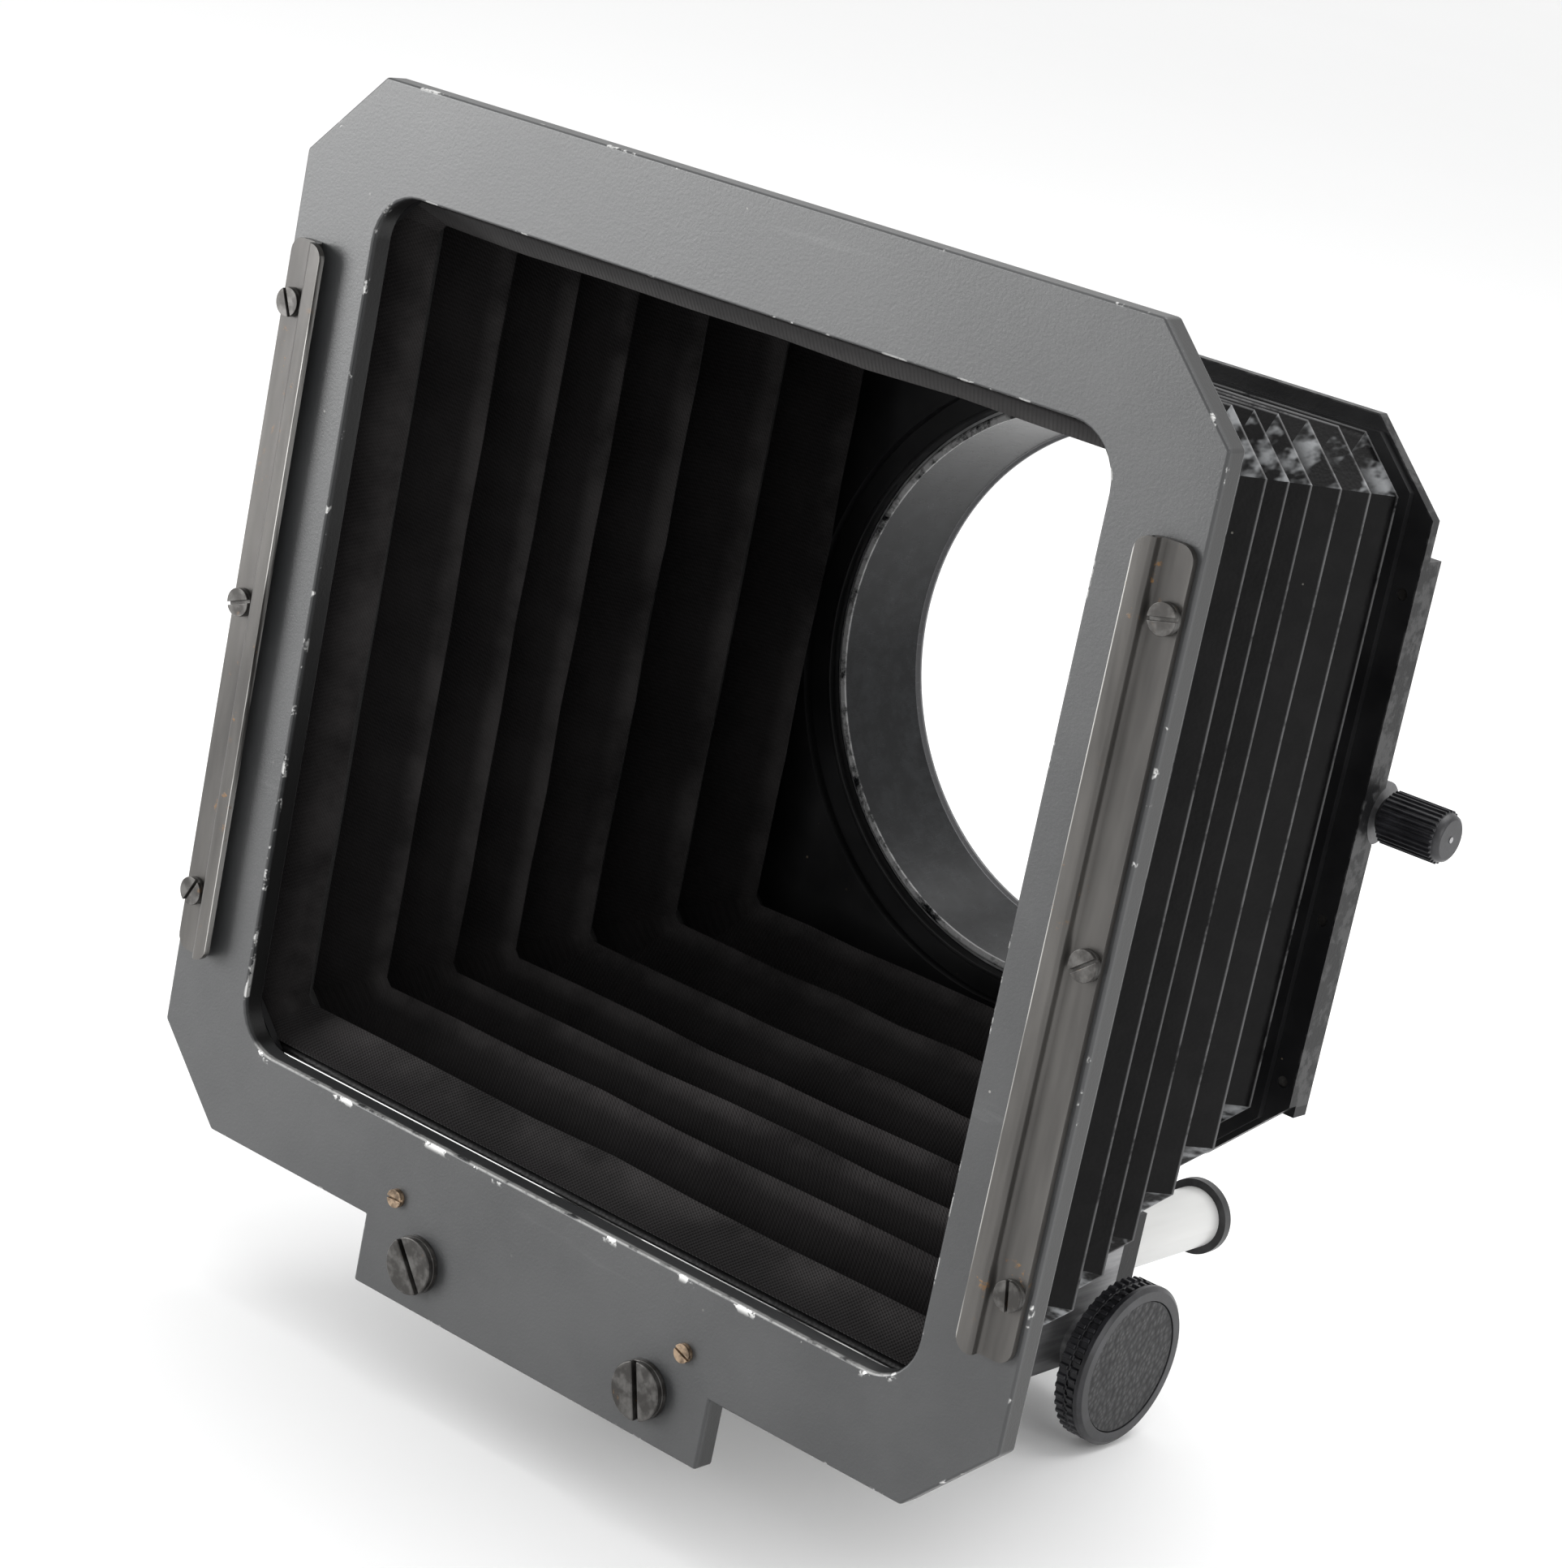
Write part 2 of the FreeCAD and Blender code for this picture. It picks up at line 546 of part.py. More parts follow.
screw_at = ("screw_y", "screw_z")
boss = round_bar("boss_blank", "X", "boss_radius", ("boss_left_x", "boss_right_x"), screw_at)
boss_cutters = [
    block("boss_step", ("boss_left_x - 1", "board_rail_wall_x"),
          (f"{REAR_BACK} - 1", f"{REAR_BACK} + board_slot"), ("-boss_radius - 2", "boss_radius + 2")),
    round_bar("boss_thread", "X", "spindle_radius + thread_play", ("boss_left_x - 1", "boss_right_x + 1"), screw_at),
    round_bar("boss_recess", "X", "shoe_radius + 0.1", ("boss_left_x - 1", "boss_left_x + 0.7"), screw_at),
]
keep("clamp_boss", less("clamp_boss", boss, *boss_cutters))

# ---- carriage block that runs on the rods ----

block_blank = block("carriage_blank", ("-block_half_x", "block_half_x"), ("block_front_y", "rear_y"),
                    ("block_foot_z", "block_top_z"))
shaft_at = ("shaft_y", SHAFT_Z)
block_cutters = []
for side in (-1, 1):
    spot = (f"{side} * rod_x", "rod_z")
    block_cutters += [
        round_bar(f"carriage_bore_{side}", "Y", "rod_radius + 0.35", ("block_front_y - 1", "rear_y + 1"), spot),
        round_bar(f"carriage_seat_{side}", "Y", "bush_outer", ("block_front_y - 1", "block_front_y + bush_long"), spot),
        round_bar(f"carriage_rear_seat_{side}", "Y", "bush_outer", ("rear_bush_y", "rear_y + 1"), spot),
    ]
block_cutters += [
    round_bar("carriage_shaft_hole", "X", "shaft_radius + hole_play + 0.02", ("shaft_left_x - 0.5", "block_half_x + 1"),
              shaft_at),
    round_bar("carriage_bush_hole", "X", "shaft_bush_outer", ("block_half_x - 4", "block_half_x + 1"), shaft_at),
    block("carriage_pocket", ("rod_x - pocket_half_x", "rod_x + pocket_half_x"),
          ("shaft_y - pocket_half_y", "shaft_y + pocket_half_y"), ("block_foot_z - 1", "rod_z")),
]
block_cutters += [
    round_bar(f"carriage_tap_{i}", "Y", "cover_shank_radius + hole_play", ("rear_y - 5", "rear_y + 1"), spot)
    for i, spot in enumerate(cover_spots)
]
foot_screw_x = ("(rod_x - 4.5)", "(rod_x + 4.5)")
block_cutters += [
    round_bar(f"carriage_foot_tap_{i}", "Z", "0.8 + hole_play", ("block_foot_z - 1", "block_foot_z + 2.2"), (x, "shaft_y - 5.2"))
    for i, x in enumerate(foot_screw_x)
]
keep("carriage_block", less("carriage_block", block_blank, *block_cutters))

COVER_BACK = "(rear_y + rear_thick + cover_thick)"
cover_blank = block("cover_blank", ("-block_half_x", "block_half_x"), (REAR_BACK, COVER_BACK),
                    ("block_foot_z", "block_top_z"))
cover_cutters = [
    round_bar(f"cover_rod_hole_{side}", "Y", "rod_radius + 0.3", (f"{REAR_BACK} - 1", f"{COVER_BACK} + 1"),
              (f"{side} * rod_x", "rod_z"))
    for side in (-1, 1)
] + [
    round_bar(f"cover_hole_{i}", "Y", "cover_shank_radius + hole_play", (f"{REAR_BACK} - 1", f"{COVER_BACK} + 1"), spot)
    for i, spot in enumerate(cover_spots)
]
keep("block_cover", less("block_cover", cover_blank, *cover_cutters))
keep("cover_screws", group("cover_screws", [
    slotted_screw(
        f"cover_screw_{i}", x, z, COVER_BACK, 1, "cover_head_radius", "small_head_high",
        "cover_shank_radius", "cover_thick + rear_thick + 4.4", 25 + 50 * i,
    )
    for i, (x, z) in enumerate(cover_spots)
]))

bushes = []
for side in (-1, 1):
    for i, start in enumerate(("block_front_y", "rear_bush_y")):
        spot = (f"{side} * rod_x", "rod_z")
        sleeve = round_bar(f"bush_{side}_{i}", "Y", "bush_outer", (start, f"{start} + bush_long"), spot)
        bore = round_bar(f"bush_bore_{side}_{i}", "Y", "bush_bore", (f"{start} - 1", f"{start} + bush_long + 1"), spot)
        bushes.append(less(f"rod_bush_{side}_{i}", sleeve, bore))
keep("rod_bushes", group("rod_bushes", bushes))

pinion_cover = block("pinion_cover_blank", ("rod_x - 6.5", "rod_x + 6.5"), ("shaft_y - 7", "shaft_y + 5"),
                     ("block_foot_z - pinion_cover_thick", "block_foot_z"))
pinion_cover_holes = [
    round_bar(f"pinion_cover_hole_{i}", "Z", "0.8 + hole_play",
              ("block_foot_z - pinion_cover_thick - 1", "block_foot_z + 1"), (x, "shaft_y - 5.2"))
    for i, x in enumerate(foot_screw_x)
]
keep("pinion_cover", less("pinion_cover", pinion_cover, *pinion_cover_holes))
foot_screws = []
for i, x in enumerate(foot_screw_x):
    foot = "(block_foot_z - pinion_cover_thick)"
    head = round_bar(f"foot_head_{i}", "Z", "stop_pin_radius", (f"{foot} - 0.8", foot), (x, "shaft_y - 5.2"))
    shank = round_bar(f"foot_shank_{i}", "Z", "0.8", (foot, "block_foot_z + 2"), (x, "shaft_y - 5.2"))
    slot = block(f"foot_slot_{i}", (f"{x} - 2", f"{x} + 2"), ("shaft_y - 5.4", "shaft_y - 5"),
                 (f"{foot} - 1", f"{foot} - 0.4"))
    foot_screws.append(less(f"foot_screw_{i}", joined(f"foot_blank_{i}", head, shank), slot))
keep("pinion_cover_screws", group("pinion_cover_screws", foot_screws))

# ---- drive: rack, pinion, shaft and knob ----


def extruded_profile(name, corners, x_from, x_to):
    """A toothed profile in the Y, Z plane, made thick along X."""
    outline = [Vector(x_from, y, z) for y, z in corners]
    made = doc.addObject("Part::Feature", name)
    made.Shape = Part.Face(Part.makePolygon([*outline, outline[0]])).extrude(Vector(x_to - x_from, 0, 0))
    return made


MODULE, TEETH = size("gear_module"), int(size("gear_teeth"))
PITCH = math.pi * MODULE
ADDENDUM, DEDENDUM, BACKLASH = 0.8 * MODULE, 1.15 * MODULE, 0.03
PRESSURE = math.radians(20)
pitch_radius = MODULE * TEETH / 2
shaft_y, shaft_z = size("shaft_y"), evaluate(SHAFT_Z)


def rack_corners():
    """Straight-sided teeth that point down, with a gap centred over the shaft."""
    pitch_z = shaft_z + pitch_radius
    half = PITCH / 4 - BACKLASH
    tip, root = half - ADDENDUM * math.tan(PRESSURE), half + DEDENDUM * math.tan(PRESSURE)
    first = math.ceil((size("rack_front_y") + PITCH - shaft_y) / PITCH - 0.5)
    last = math.floor((size("rack_back_y") - PITCH - shaft_y) / PITCH - 0.5)
    line = [(size("rack_front_y"), size("rack_top_z")), (size("rack_front_y"), pitch_z + DEDENDUM)]
    for tooth in range(first, last + 1):
        y = shaft_y + (tooth + 0.5) * PITCH
        line += [
            (y - root, pitch_z + DEDENDUM), (y - tip, pitch_z - ADDENDUM),
            (y + tip, pitch_z - ADDENDUM), (y + root, pitch_z + DEDENDUM),
        ]
    return line + [(size("rack_back_y"), pitch_z + DEDENDUM), (size("rack_back_y"), size("rack_top_z"))]


def pinion_corners():
    """Involute teeth, one of them pointing straight up into the rack."""
    base = pitch_radius * math.cos(PRESSURE)
    involute = math.tan(PRESSURE) - PRESSURE
    half = (PITCH / 4 - BACKLASH) / pitch_radius
    radii = [base + (pitch_radius + ADDENDUM - base) * step / 5 for step in range(6)]
    foot = pitch_radius - DEDENDUM
    line = []
    for tooth in range(TEETH):
        middle = math.pi / 2 - 2 * math.pi * tooth / TEETH
        flank = [(foot, half + involute)]
        for radius in radii:
            turn = math.acos(min(1.0, base / radius))
            flank.append((radius, half + involute - (math.tan(turn) - turn)))
        line += [(r, middle + a) for r, a in flank] + [(r, middle - a) for r, a in reversed(flank)]
    return [(shaft_y + r * math.cos(a), shaft_z + r * math.sin(a)) for r, a in line]


rod_x = size("rod_x")
rack_half, pinion_half = size("rack_half_thick"), size("pinion_half_thick")
keep("rod_rack", extruded_profile("rod_rack", rack_corners(), rod_x - rack_half, rod_x + rack_half))
pinion_blank = extruded_profile("pinion_blank", pinion_corners(), rod_x - pinion_half, rod_x + pinion_half)
pinion_bore = round_bar("pinion_bore", "X", "shaft_radius", ("rod_x - 4", "rod_x + 4"), shaft_at)
keep("drive_pinion", less("drive_pinion", pinion_blank, pinion_bore))
keep("drive_shaft", round_bar("drive_shaft", "X", "shaft_radius", ("shaft_left_x", "knob_right_x - 1.6"), shaft_at))

bush_stem = round_bar("shaft_bush_stem", "X", "shaft_bush_outer", ("block_half_x - 4", "block_half_x"), shaft_at)
bush_flange = round_bar("shaft_bush_collar", "X", "shaft_bush_flange", ("block_half_x", "knob_left_x - 0.3"), shaft_at)
bush_bore = round_bar("shaft_bush_bore", "X", "shaft_radius + hole_play + 0.02", ("block_half_x - 5", "knob_left_x + 1"),
                      shaft_at)
keep("shaft_bush", less("shaft_bush", joined("shaft_bush_blank", bush_stem, bush_flange), bush_bore))

knob_profile = [
    ("knob_left_x", "shaft_radius"), ("knob_left_x", "knob_radius - 0.3"), ("knob_left_x + 0.3", "knob_radius"),
    ("knob_left_x + 2", "knob_radius"), ("knob_left_x + 2", "knob_radius - 0.5"),
    ("knob_left_x + 2.4", "knob_radius - 0.5"), ("knob_left_x + 2.4", "knob_radius"),
    ("knob_right_x - 0.2", "knob_radius"), ("knob_right_x + 0.4", "knob_radius - 0.5"),
    ("knob_right_x + 0.4", "inlay_radius"), ("knob_right_x + 0.3 - inlay_thick", "inlay_radius"),
    ("knob_right_x + 0.3 - inlay_thick", "shaft_radius + 0.5"), ("knob_right_x - 1.6", "shaft_radius + 0.5"),
    ("knob_right_x - 1.6", "shaft_radius"),
]
knob = turned("drive_knob", "XY_Plane", knob_profile, "0", "shaft_y", SHAFT_Z)
keep("drive_knob", knob)
keep("knob_inlay", round_bar("knob_inlay", "X", "inlay_radius - 0.05",
                             ("knob_right_x + 0.3 - inlay_thick", "knob_right_x + 0.3"), shaft_at))

# ---- lens board, collar and the ring that stays on the lens ----

BOARD_FRONT = "(rear_y + rear_thick + board_play)"
BOARD_BACK = "(rear_y + rear_thick + board_play + board_thick)"
board = plate("adapter_board", BOARD_FRONT, "board_thick", corners_of(
    "-board_half_x", "board_half_x", "board_foot_z", "board_top_z", "board_corner"))
keep("adapter_board", pierced(board, "adapter_hole", BOARD_FRONT, circles=[("0", "0", "collar_radius")]))

keep("adapter_collar", turned("adapter_collar", "YZ_Plane", [
    (BOARD_FRONT, "collar_mouth"), (BOARD_FRONT, "collar_radius"), (BOARD_BACK, "collar_radius"),
    (BOARD_BACK, "collar_outer"), ("collar_end_y", "collar_outer"), ("collar_end_y", "collar_bore"),
    ("collar_step_y", "collar_bore"), ("collar_step_y", "collar_mouth"),
]))
keep("lens_ring", turned("lens_ring", "YZ_Plane", [
    ("ring_front_y", "ring_mouth"), ("ring_front_y", "ring_mouth + 0.8"), ("ring_front_y + 0.7", "ring_outer"),
    ("clip_y", "ring_outer"), ("clip_y", "clip_inner"), ("clip_y + clip_thick", "clip_inner"),
    ("clip_y + clip_thick", "ring_outer"), ("ring_flange_y", "ring_outer"), ("ring_flange_y", "ring_flange"),
    ("0", "ring_flange"), ("0", "thread_radius"), ("thread_long", "thread_radius"),
    ("thread_long", "thread_bore"), ("5.1", "thread_bore"), ("4.6", "ring_waist"),
]))
keep("ring_clip", turned("ring_clip", "YZ_Plane", [
    ("clip_y", "clip_inner"), ("clip_y", "clip_outer"), ("clip_y + clip_thick", "clip_outer"),
    ("clip_y + clip_thick", "clip_inner"),
]))

# ---- thumb screw and its shoe ----

keep("clamp_shoe", round_bar("clamp_shoe", "X", "shoe_radius", ("shoe_left_x", "shoe_right_x"), screw_at))
spindle = round_bar("spindle_stem", "X", "spindle_radius", ("shoe_right_x + 0.02", "thumb_right_x - 3"), screw_at)
spindle_tail = round_bar("spindle_tail", "X", "0.45", ("thumb_right_x - 3.1", "thumb_right_x + 0.1"), screw_at)
keep("screw_spindle", joined("screw_spindle", spindle, spindle_tail))
thumb_profile = [
    ("thumb_left_x", "spindle_radius"), ("thumb_left_x", "thumb_radius - 0.9"),
    ("thumb_left_x + 0.9", "thumb_radius"), ("thumb_right_x - 0.5", "thumb_radius"),
    ("thumb_right_x", "thumb_radius - 0.5"), ("thumb_right_x", "0.45"), ("thumb_right_x - 3", "0.45"),
    ("thumb_right_x - 3", "spindle_radius"),
]
keep("thumb_knob", turned("thumb_knob", "XY_Plane", thumb_profile, "0", "screw_y", "screw_z"))

# ---- check everything, then write one file for each sub-part ----

doc.recompute()
for made in doc.Objects:
    if {"Invalid", "Error"} & set(made.State):
        raise RuntimeError(f"{made.Label} failed: {made.State}")
for part in PARTS:
    if part.Shape.isNull() or not part.Shape.isValid() or not part.Shape.Solids:
        raise RuntimeError(f"{part.Label} has no valid solid")
os.makedirs("parts", exist_ok=True)
for part in PARTS:
    part.Shape.exportStep(f"parts/{part.Label}.step")
    box = part.Shape.BoundBox
    print(f"{part.Label:22s} {len(part.Shape.Solids)} solids {part.Shape.Volume:10.1f} mm3 "
          f"x {box.XMin:.2f} {box.XMax:.2f} y {box.YMin:.2f} {box.YMax:.2f} z {box.ZMin:.2f} {box.ZMax:.2f}")
print(len(PARTS), "sub-parts")
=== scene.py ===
from math import pi, radians

import bmesh
import bpy
from mathutils import Matrix, Vector, noise


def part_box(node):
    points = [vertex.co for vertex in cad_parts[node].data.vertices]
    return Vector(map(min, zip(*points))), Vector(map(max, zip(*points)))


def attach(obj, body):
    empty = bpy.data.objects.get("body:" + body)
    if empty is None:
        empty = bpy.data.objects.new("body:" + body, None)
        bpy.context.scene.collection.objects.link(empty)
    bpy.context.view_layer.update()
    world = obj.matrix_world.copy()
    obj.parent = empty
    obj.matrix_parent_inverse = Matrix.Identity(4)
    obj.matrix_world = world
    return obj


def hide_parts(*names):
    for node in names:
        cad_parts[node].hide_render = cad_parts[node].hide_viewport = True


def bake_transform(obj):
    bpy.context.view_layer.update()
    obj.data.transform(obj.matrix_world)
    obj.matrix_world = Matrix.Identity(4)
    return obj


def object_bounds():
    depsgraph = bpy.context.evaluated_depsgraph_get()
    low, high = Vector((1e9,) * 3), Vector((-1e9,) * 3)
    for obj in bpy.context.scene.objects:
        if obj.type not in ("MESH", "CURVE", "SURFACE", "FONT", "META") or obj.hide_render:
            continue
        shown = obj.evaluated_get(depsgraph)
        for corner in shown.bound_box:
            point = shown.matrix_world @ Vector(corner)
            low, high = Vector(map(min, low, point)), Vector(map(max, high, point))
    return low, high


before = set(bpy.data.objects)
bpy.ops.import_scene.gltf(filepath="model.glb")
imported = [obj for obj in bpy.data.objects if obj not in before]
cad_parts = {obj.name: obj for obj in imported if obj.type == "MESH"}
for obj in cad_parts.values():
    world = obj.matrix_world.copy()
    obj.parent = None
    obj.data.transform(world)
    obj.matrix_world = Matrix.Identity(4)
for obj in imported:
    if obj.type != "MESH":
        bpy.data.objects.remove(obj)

cad_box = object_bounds()

# The view is from the front, to the right of the lens axis and a little above it, with the hood leaning
# to the right as it did where it stood. Everything round it is white, and the light is large and soft.
camera = bpy.data.objects.new("camera", bpy.data.cameras.new("camera"))
camera.data.lens, camera.data.sensor_width = 92.33, 36
camera.data.clip_start = 0.01
looks = Vector((-0.5770, 0.7720, -0.2667)).normalized()
right = looks.cross(Vector((-0.3167, 0.0895, 0.9443))).normalized()
turn = Matrix((right, right.cross(looks), -looks)).transposed().to_4x4()
camera.matrix_world = Matrix.Translation((0.30783, -0.48649, 0.13521)) @ turn
bpy.context.collection.objects.link(camera)
bpy.context.scene.camera = camera
bpy.context.scene.view_settings.view_transform = "Standard"

world = bpy.data.worlds.new("white_room")
bpy.context.scene.world = world
world.use_nodes = True
world.node_tree.nodes["Background"].inputs["Color"].default_value = (1, 1, 1, 1)
world.node_tree.nodes["Background"].inputs["Strength"].default_value = 1.0
for name, place, reach, watts in (
    ("window_left", (-1.00, -0.98, 0.18), 0.66, 18.5),
    ("lamp_above", (0.10, 0.20, 0.95), 0.8, 6.0),
    ("lamp_right", (0.95, -0.30, 0.35), 0.5, 2.0),
):
    lamp = bpy.data.objects.new(name, bpy.data.lights.new(name, "AREA"))
    lamp.data.size, lamp.data.energy = reach, watts
    lamp.location = place
    lamp.rotation_euler = (Vector((0, -0.05, 0)) - lamp.location).to_track_quat("-Z", "Y").to_euler()
    bpy.context.collection.objects.link(lamp)

# The front plate is a thin aluminium sheet with cut corners, a rounded window and a tab below for the
# rods. It is finished in dark satin grey that has worn to bright metal on the edges that get knocked.


class Number:
    """A shader value that ordinary sums can be written with."""

    def __init__(self, finish, socket):
        self.finish, self.socket = finish, socket

    def sum_with(self, operation, a, b=None, c=None):
        return self.finish.node("ShaderNodeMath", {"operation": operation}, {0: a, 1: b, 2: c})

    def __add__(self, other):
        return self.sum_with("ADD", self, other)

    def __sub__(self, other):
        return self.sum_with("SUBTRACT", self, other)

    def __rsub__(self, other):
        return self.sum_with("SUBTRACT", other, self)

    def __mul__(self, other):
        return self.sum_with("MULTIPLY", self, other)

    def __truediv__(self, other):
        return self.sum_with("DIVIDE", self, other)

    def __abs__(self):
        return self.sum_with("ABSOLUTE", self)

    __radd__, __rmul__ = __add__, __mul__

    def least(self, other):
        return self.sum_with("MINIMUM", self, other)

    def most(self, other):
        return self.sum_with("MAXIMUM", self, other)

    def root(self):
        return self.sum_with("SQRT", self)

    def wave(self):
        return self.sum_with("SINE", self)

    def between(self, low, high):
        """0 up to low, 1 from high, and smooth from one to the other."""
        return self.finish.node(
            "ShaderNodeMapRange", {"interpolation_type": "SMOOTHSTEP"},
            {"Value": self, "From Min": low, "From Max": high},
        )


class Finish:
    """A material, with its shader's fixed values given by name."""

    def __init__(self, name, **fixed):
        self.material = bpy.data.materials.new(name)
        self.material.use_nodes = True
        self.tree = self.material.node_tree
        self.shader = self.tree.nodes["Principled BSDF"]
        for socket, value in fixed.items():
            self.shader.inputs[socket.replace("_", " ")].default_value = value
        place = self.node("ShaderNodeTexCoord", {}, {}, "Object")
        self.place = place
        self.x, self.y, self.z = (self.node("ShaderNodeSeparateXYZ", {}, {0: place}, axis) for axis in "XYZ")

    def node(self, kind, settings, sockets, out=0):
        made = self.tree.nodes.new(kind)
        for name, value in settings.items():
            setattr(made, name, value)
        for key, value in sockets.items():
            if isinstance(value, Number):
                self.tree.links.new(value.socket, made.inputs[key])
            elif value is not None:
                made.inputs[key].default_value = value
        return Number(self, made.outputs[out])

    def speckle(self, scale, detail=3.0, rough=0.6, stretch=None):
        """Cloudy noise, about 0.5 on average; scale is its spots to the metre."""
        where = self.place
        if stretch:
            where = self.node("ShaderNodeMapping", {}, {"Vector": self.place, "Scale": stretch})
        return self.node(
            "ShaderNodeTexNoise", {}, {"Vector": where, "Scale": scale, "Detail": detail, "Roughness": rough}
        )

    def specks(self, scale, radius):
        """Small round specks, 1 inside each."""
        cell = self.node("ShaderNodeTexVoronoi", {}, {"Vector": self.place, "Scale": scale}, "Distance")
        return 1 - cell.between(radius * scale * 0.6, radius * scale)

    def mix(self, part, low, high):
        """Two colours, with high where part is 1."""
        def shade(value):
            return value if isinstance(value, Number) else (*value, 1)
        sockets = {0: part, 6: shade(low), 7: shade(high)}
        return self.node("ShaderNodeMix", {"data_type": "RGBA"}, sockets, 2)

    def wire(self, **outputs):
        for socket, value in outputs.items():
            self.tree.links.new(value.socket, self.shader.inputs[socket.replace("_", " ")])

    def bump(self, height, depth, strength=1.0):
        sockets = {"Height": height, "Distance": depth, "Strength": strength}
        self.wire(Normal=self.node("ShaderNodeBump", {}, sockets, "Normal"))


def piece(name, bm, finish, body=None, smooth=35, bevel=0.0, steps=2, wall=0.0):
    """Makes the mesh an object of the hood, with rounded edges and an inner wall where they are given."""
    mesh = bpy.data.meshes.new(name)
    bm.to_mesh(mesh)
    bm.free()
    mesh.shade_smooth()
    mesh.set_sharp_from_angle(angle=radians(smooth))
    made = bpy.data.objects.new(name, mesh)
    bpy.context.collection.objects.link(made)
    mesh.materials.append(finish.material)
    if wall:
        thick = made.modifiers.new("wall", "SOLIDIFY")
        thick.thickness, thick.offset, thick.use_even_offset = wall, -1, True
    if bevel:
        rounding = made.modifiers.new("edges", "BEVEL")
        rounding.width, rounding.segments, rounding.limit_method = bevel, steps, "ANGLE"
        rounding.angle_limit = radians(35)
        rounding.harden_normals = True
    if body:
        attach(made, body)
    return made


def squared(bm, low, high, corner, rounds):
    """The outline of an upright rectangle, low and high being (x, z), with its corners cut or rounded."""
    upright = Matrix.Rotation(pi / 2, 4, "X")
    made = bmesh.ops.create_grid(bm, x_segments=1, y_segments=1, size=0.5, matrix=upright)
    for vert in made["verts"]:
        vert.co.x = high[0] if vert.co.x > 0 else low[0]
        vert.co.z = high[1] if vert.co.z > 0 else low[1]
    bmesh.ops.bevel(
        bm, geom=made["verts"], offset=corner, affect="VERTICES", segments=rounds, profile=0.5, material=-1
    )


def filled(bm, y, thick):
    """Fills the flat outlines between their edges, then gives the sheet its thickness."""
    bmesh.ops.delete(bm, geom=bm.faces[:], context="FACES_ONLY")
    bmesh.ops.triangle_fill(bm, use_beauty=True, edges=bm.edges[:], normal=(0, -1, 0))
    bmesh.ops.dissolve_limit(bm, angle_limit=radians(1), verts=bm.verts[:], edges=bm.edges[:])
    bmesh.ops.translate(bm, verts=bm.verts[:], vec=(0, y, 0))
    grown = bmesh.ops.extrude_face_region(bm, geom=bm.faces[:], use_keep_orig=True)
    moved = [g for g in grown["geom"] if isinstance(g, bmesh.types.BMVert)]
    bmesh.ops.translate(bm, verts=moved, vec=(0, thick, 0))
    bmesh.ops.recalc_face_normals(bm, faces=bm.faces[:])


def cut_corner_distance(finish, half_x, half_z, middle, corner):
    """How far inside a cut-cornered rectangle a point is, in metres."""
    across, up = abs(finish.x), abs(finish.z - middle)
    inside = (half_x - across).least(half_z - up)
    return inside.least((half_x + half_z - corner - across - up) * 0.7071)


plate_low, plate_high = (Vector(corner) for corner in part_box("front_plate"))
PLATE_MIDDLE, PLATE_HALF, PLATE_TALL, CUT_CORNER, TAB_HALF = -0.002, 0.075, 0.0745, 0.0122, 0.0314
WINDOW_HALF, WINDOW_TALL, WINDOW_CORNER = 0.0605, 0.0603, 0.007
plate_grey = Finish("plate_grey", IOR=1.55)
cloudy = plate_grey.speckle(45, 4)
grit = plate_grey.speckle(2600, 2)
chips = plate_grey.speckle(210, 4, 0.7)
rim = cut_corner_distance(plate_grey, PLATE_HALF, PLATE_TALL, PLATE_MIDDLE, CUT_CORNER)
past_x = (abs(plate_grey.x) - (WINDOW_HALF - WINDOW_CORNER)).most(0)
past_z = (abs(plate_grey.z - PLATE_MIDDLE) - (WINDOW_TALL - WINDOW_CORNER)).most(0)
window = (past_x * past_x + past_z * past_z).root() - WINDOW_CORNER
behind = (plate_grey.y - plate_low.y).between(0.0004, 0.0010)
tab = (TAB_HALF - abs(plate_grey.x)).least(plate_grey.z - plate_low.z)
tab = tab.least(PLATE_MIDDLE - 0.0705 - plate_grey.z)
rim = rim.most(tab)
sill = (PLATE_MIDDLE - 0.0590 - plate_grey.z).between(0, 0.001)
bare = (1 - rim.between(0.0001, 0.0004)) * chips.between(0.60, 0.66)
bare = bare.most((1 - window.between(0.0001, 0.0004)) * chips.between(0.57, 0.63))
bare = bare.most((1 - window.between(0.0003, 0.0012)) * chips.between(0.55, 0.60) * sill)
bare = bare.most((1 - window.between(0.0001, 0.0003)) * chips.between(0.36, 0.50) * sill * 0.7)
bare = bare.most((1 - rim.between(0.0003, 0.0010)) * chips.between(0.70, 0.72)) * (1 - behind)
dust = plate_grey.specks(170, 0.00022) * plate_grey.speckle(30).between(0.5, 0.6)
scuffs = plate_grey.speckle(90, 5, 0.7, (0.25, 1, 2.4)).between(0.60, 0.75)
shade = plate_grey.mix(cloudy.between(0.3, 0.7), (0.026, 0.027, 0.028), (0.038, 0.039, 0.040))
shade = plate_grey.mix(scuffs * 0.35, shade, (0.075, 0.076, 0.077))
# Painted shade: the walls of the window opening, all but the up-facing sill, are darkened to near black.
shade = plate_grey.mix(behind * (1 - window.between(0, 0.0001)) * (1 - sill), shade, (0.004, 0.004, 0.004))
# Painted shade: the plate's outer side faces, between its front and back, are mixed most of the way to near
# black.
before_back = 1 - (plate_grey.y - plate_low.y).between(0.0030, 0.0034)
shaded_sides = behind * before_back * (1 - rim.between(0, 0.0002))
shade = plate_grey.mix(shaded_sides * 0.8, shade, (0.010, 0.010, 0.010))
shade = plate_grey.mix(dust * 0.6, shade, (0.30, 0.29, 0.27))
shade = plate_grey.mix(bare, shade, (0.62, 0.62, 0.61))
plate_grey.wire(Base_Color=shade, Metallic=bare * 0.6, Roughness=0.34 + cloudy * 0.12 - bare * 0.1)
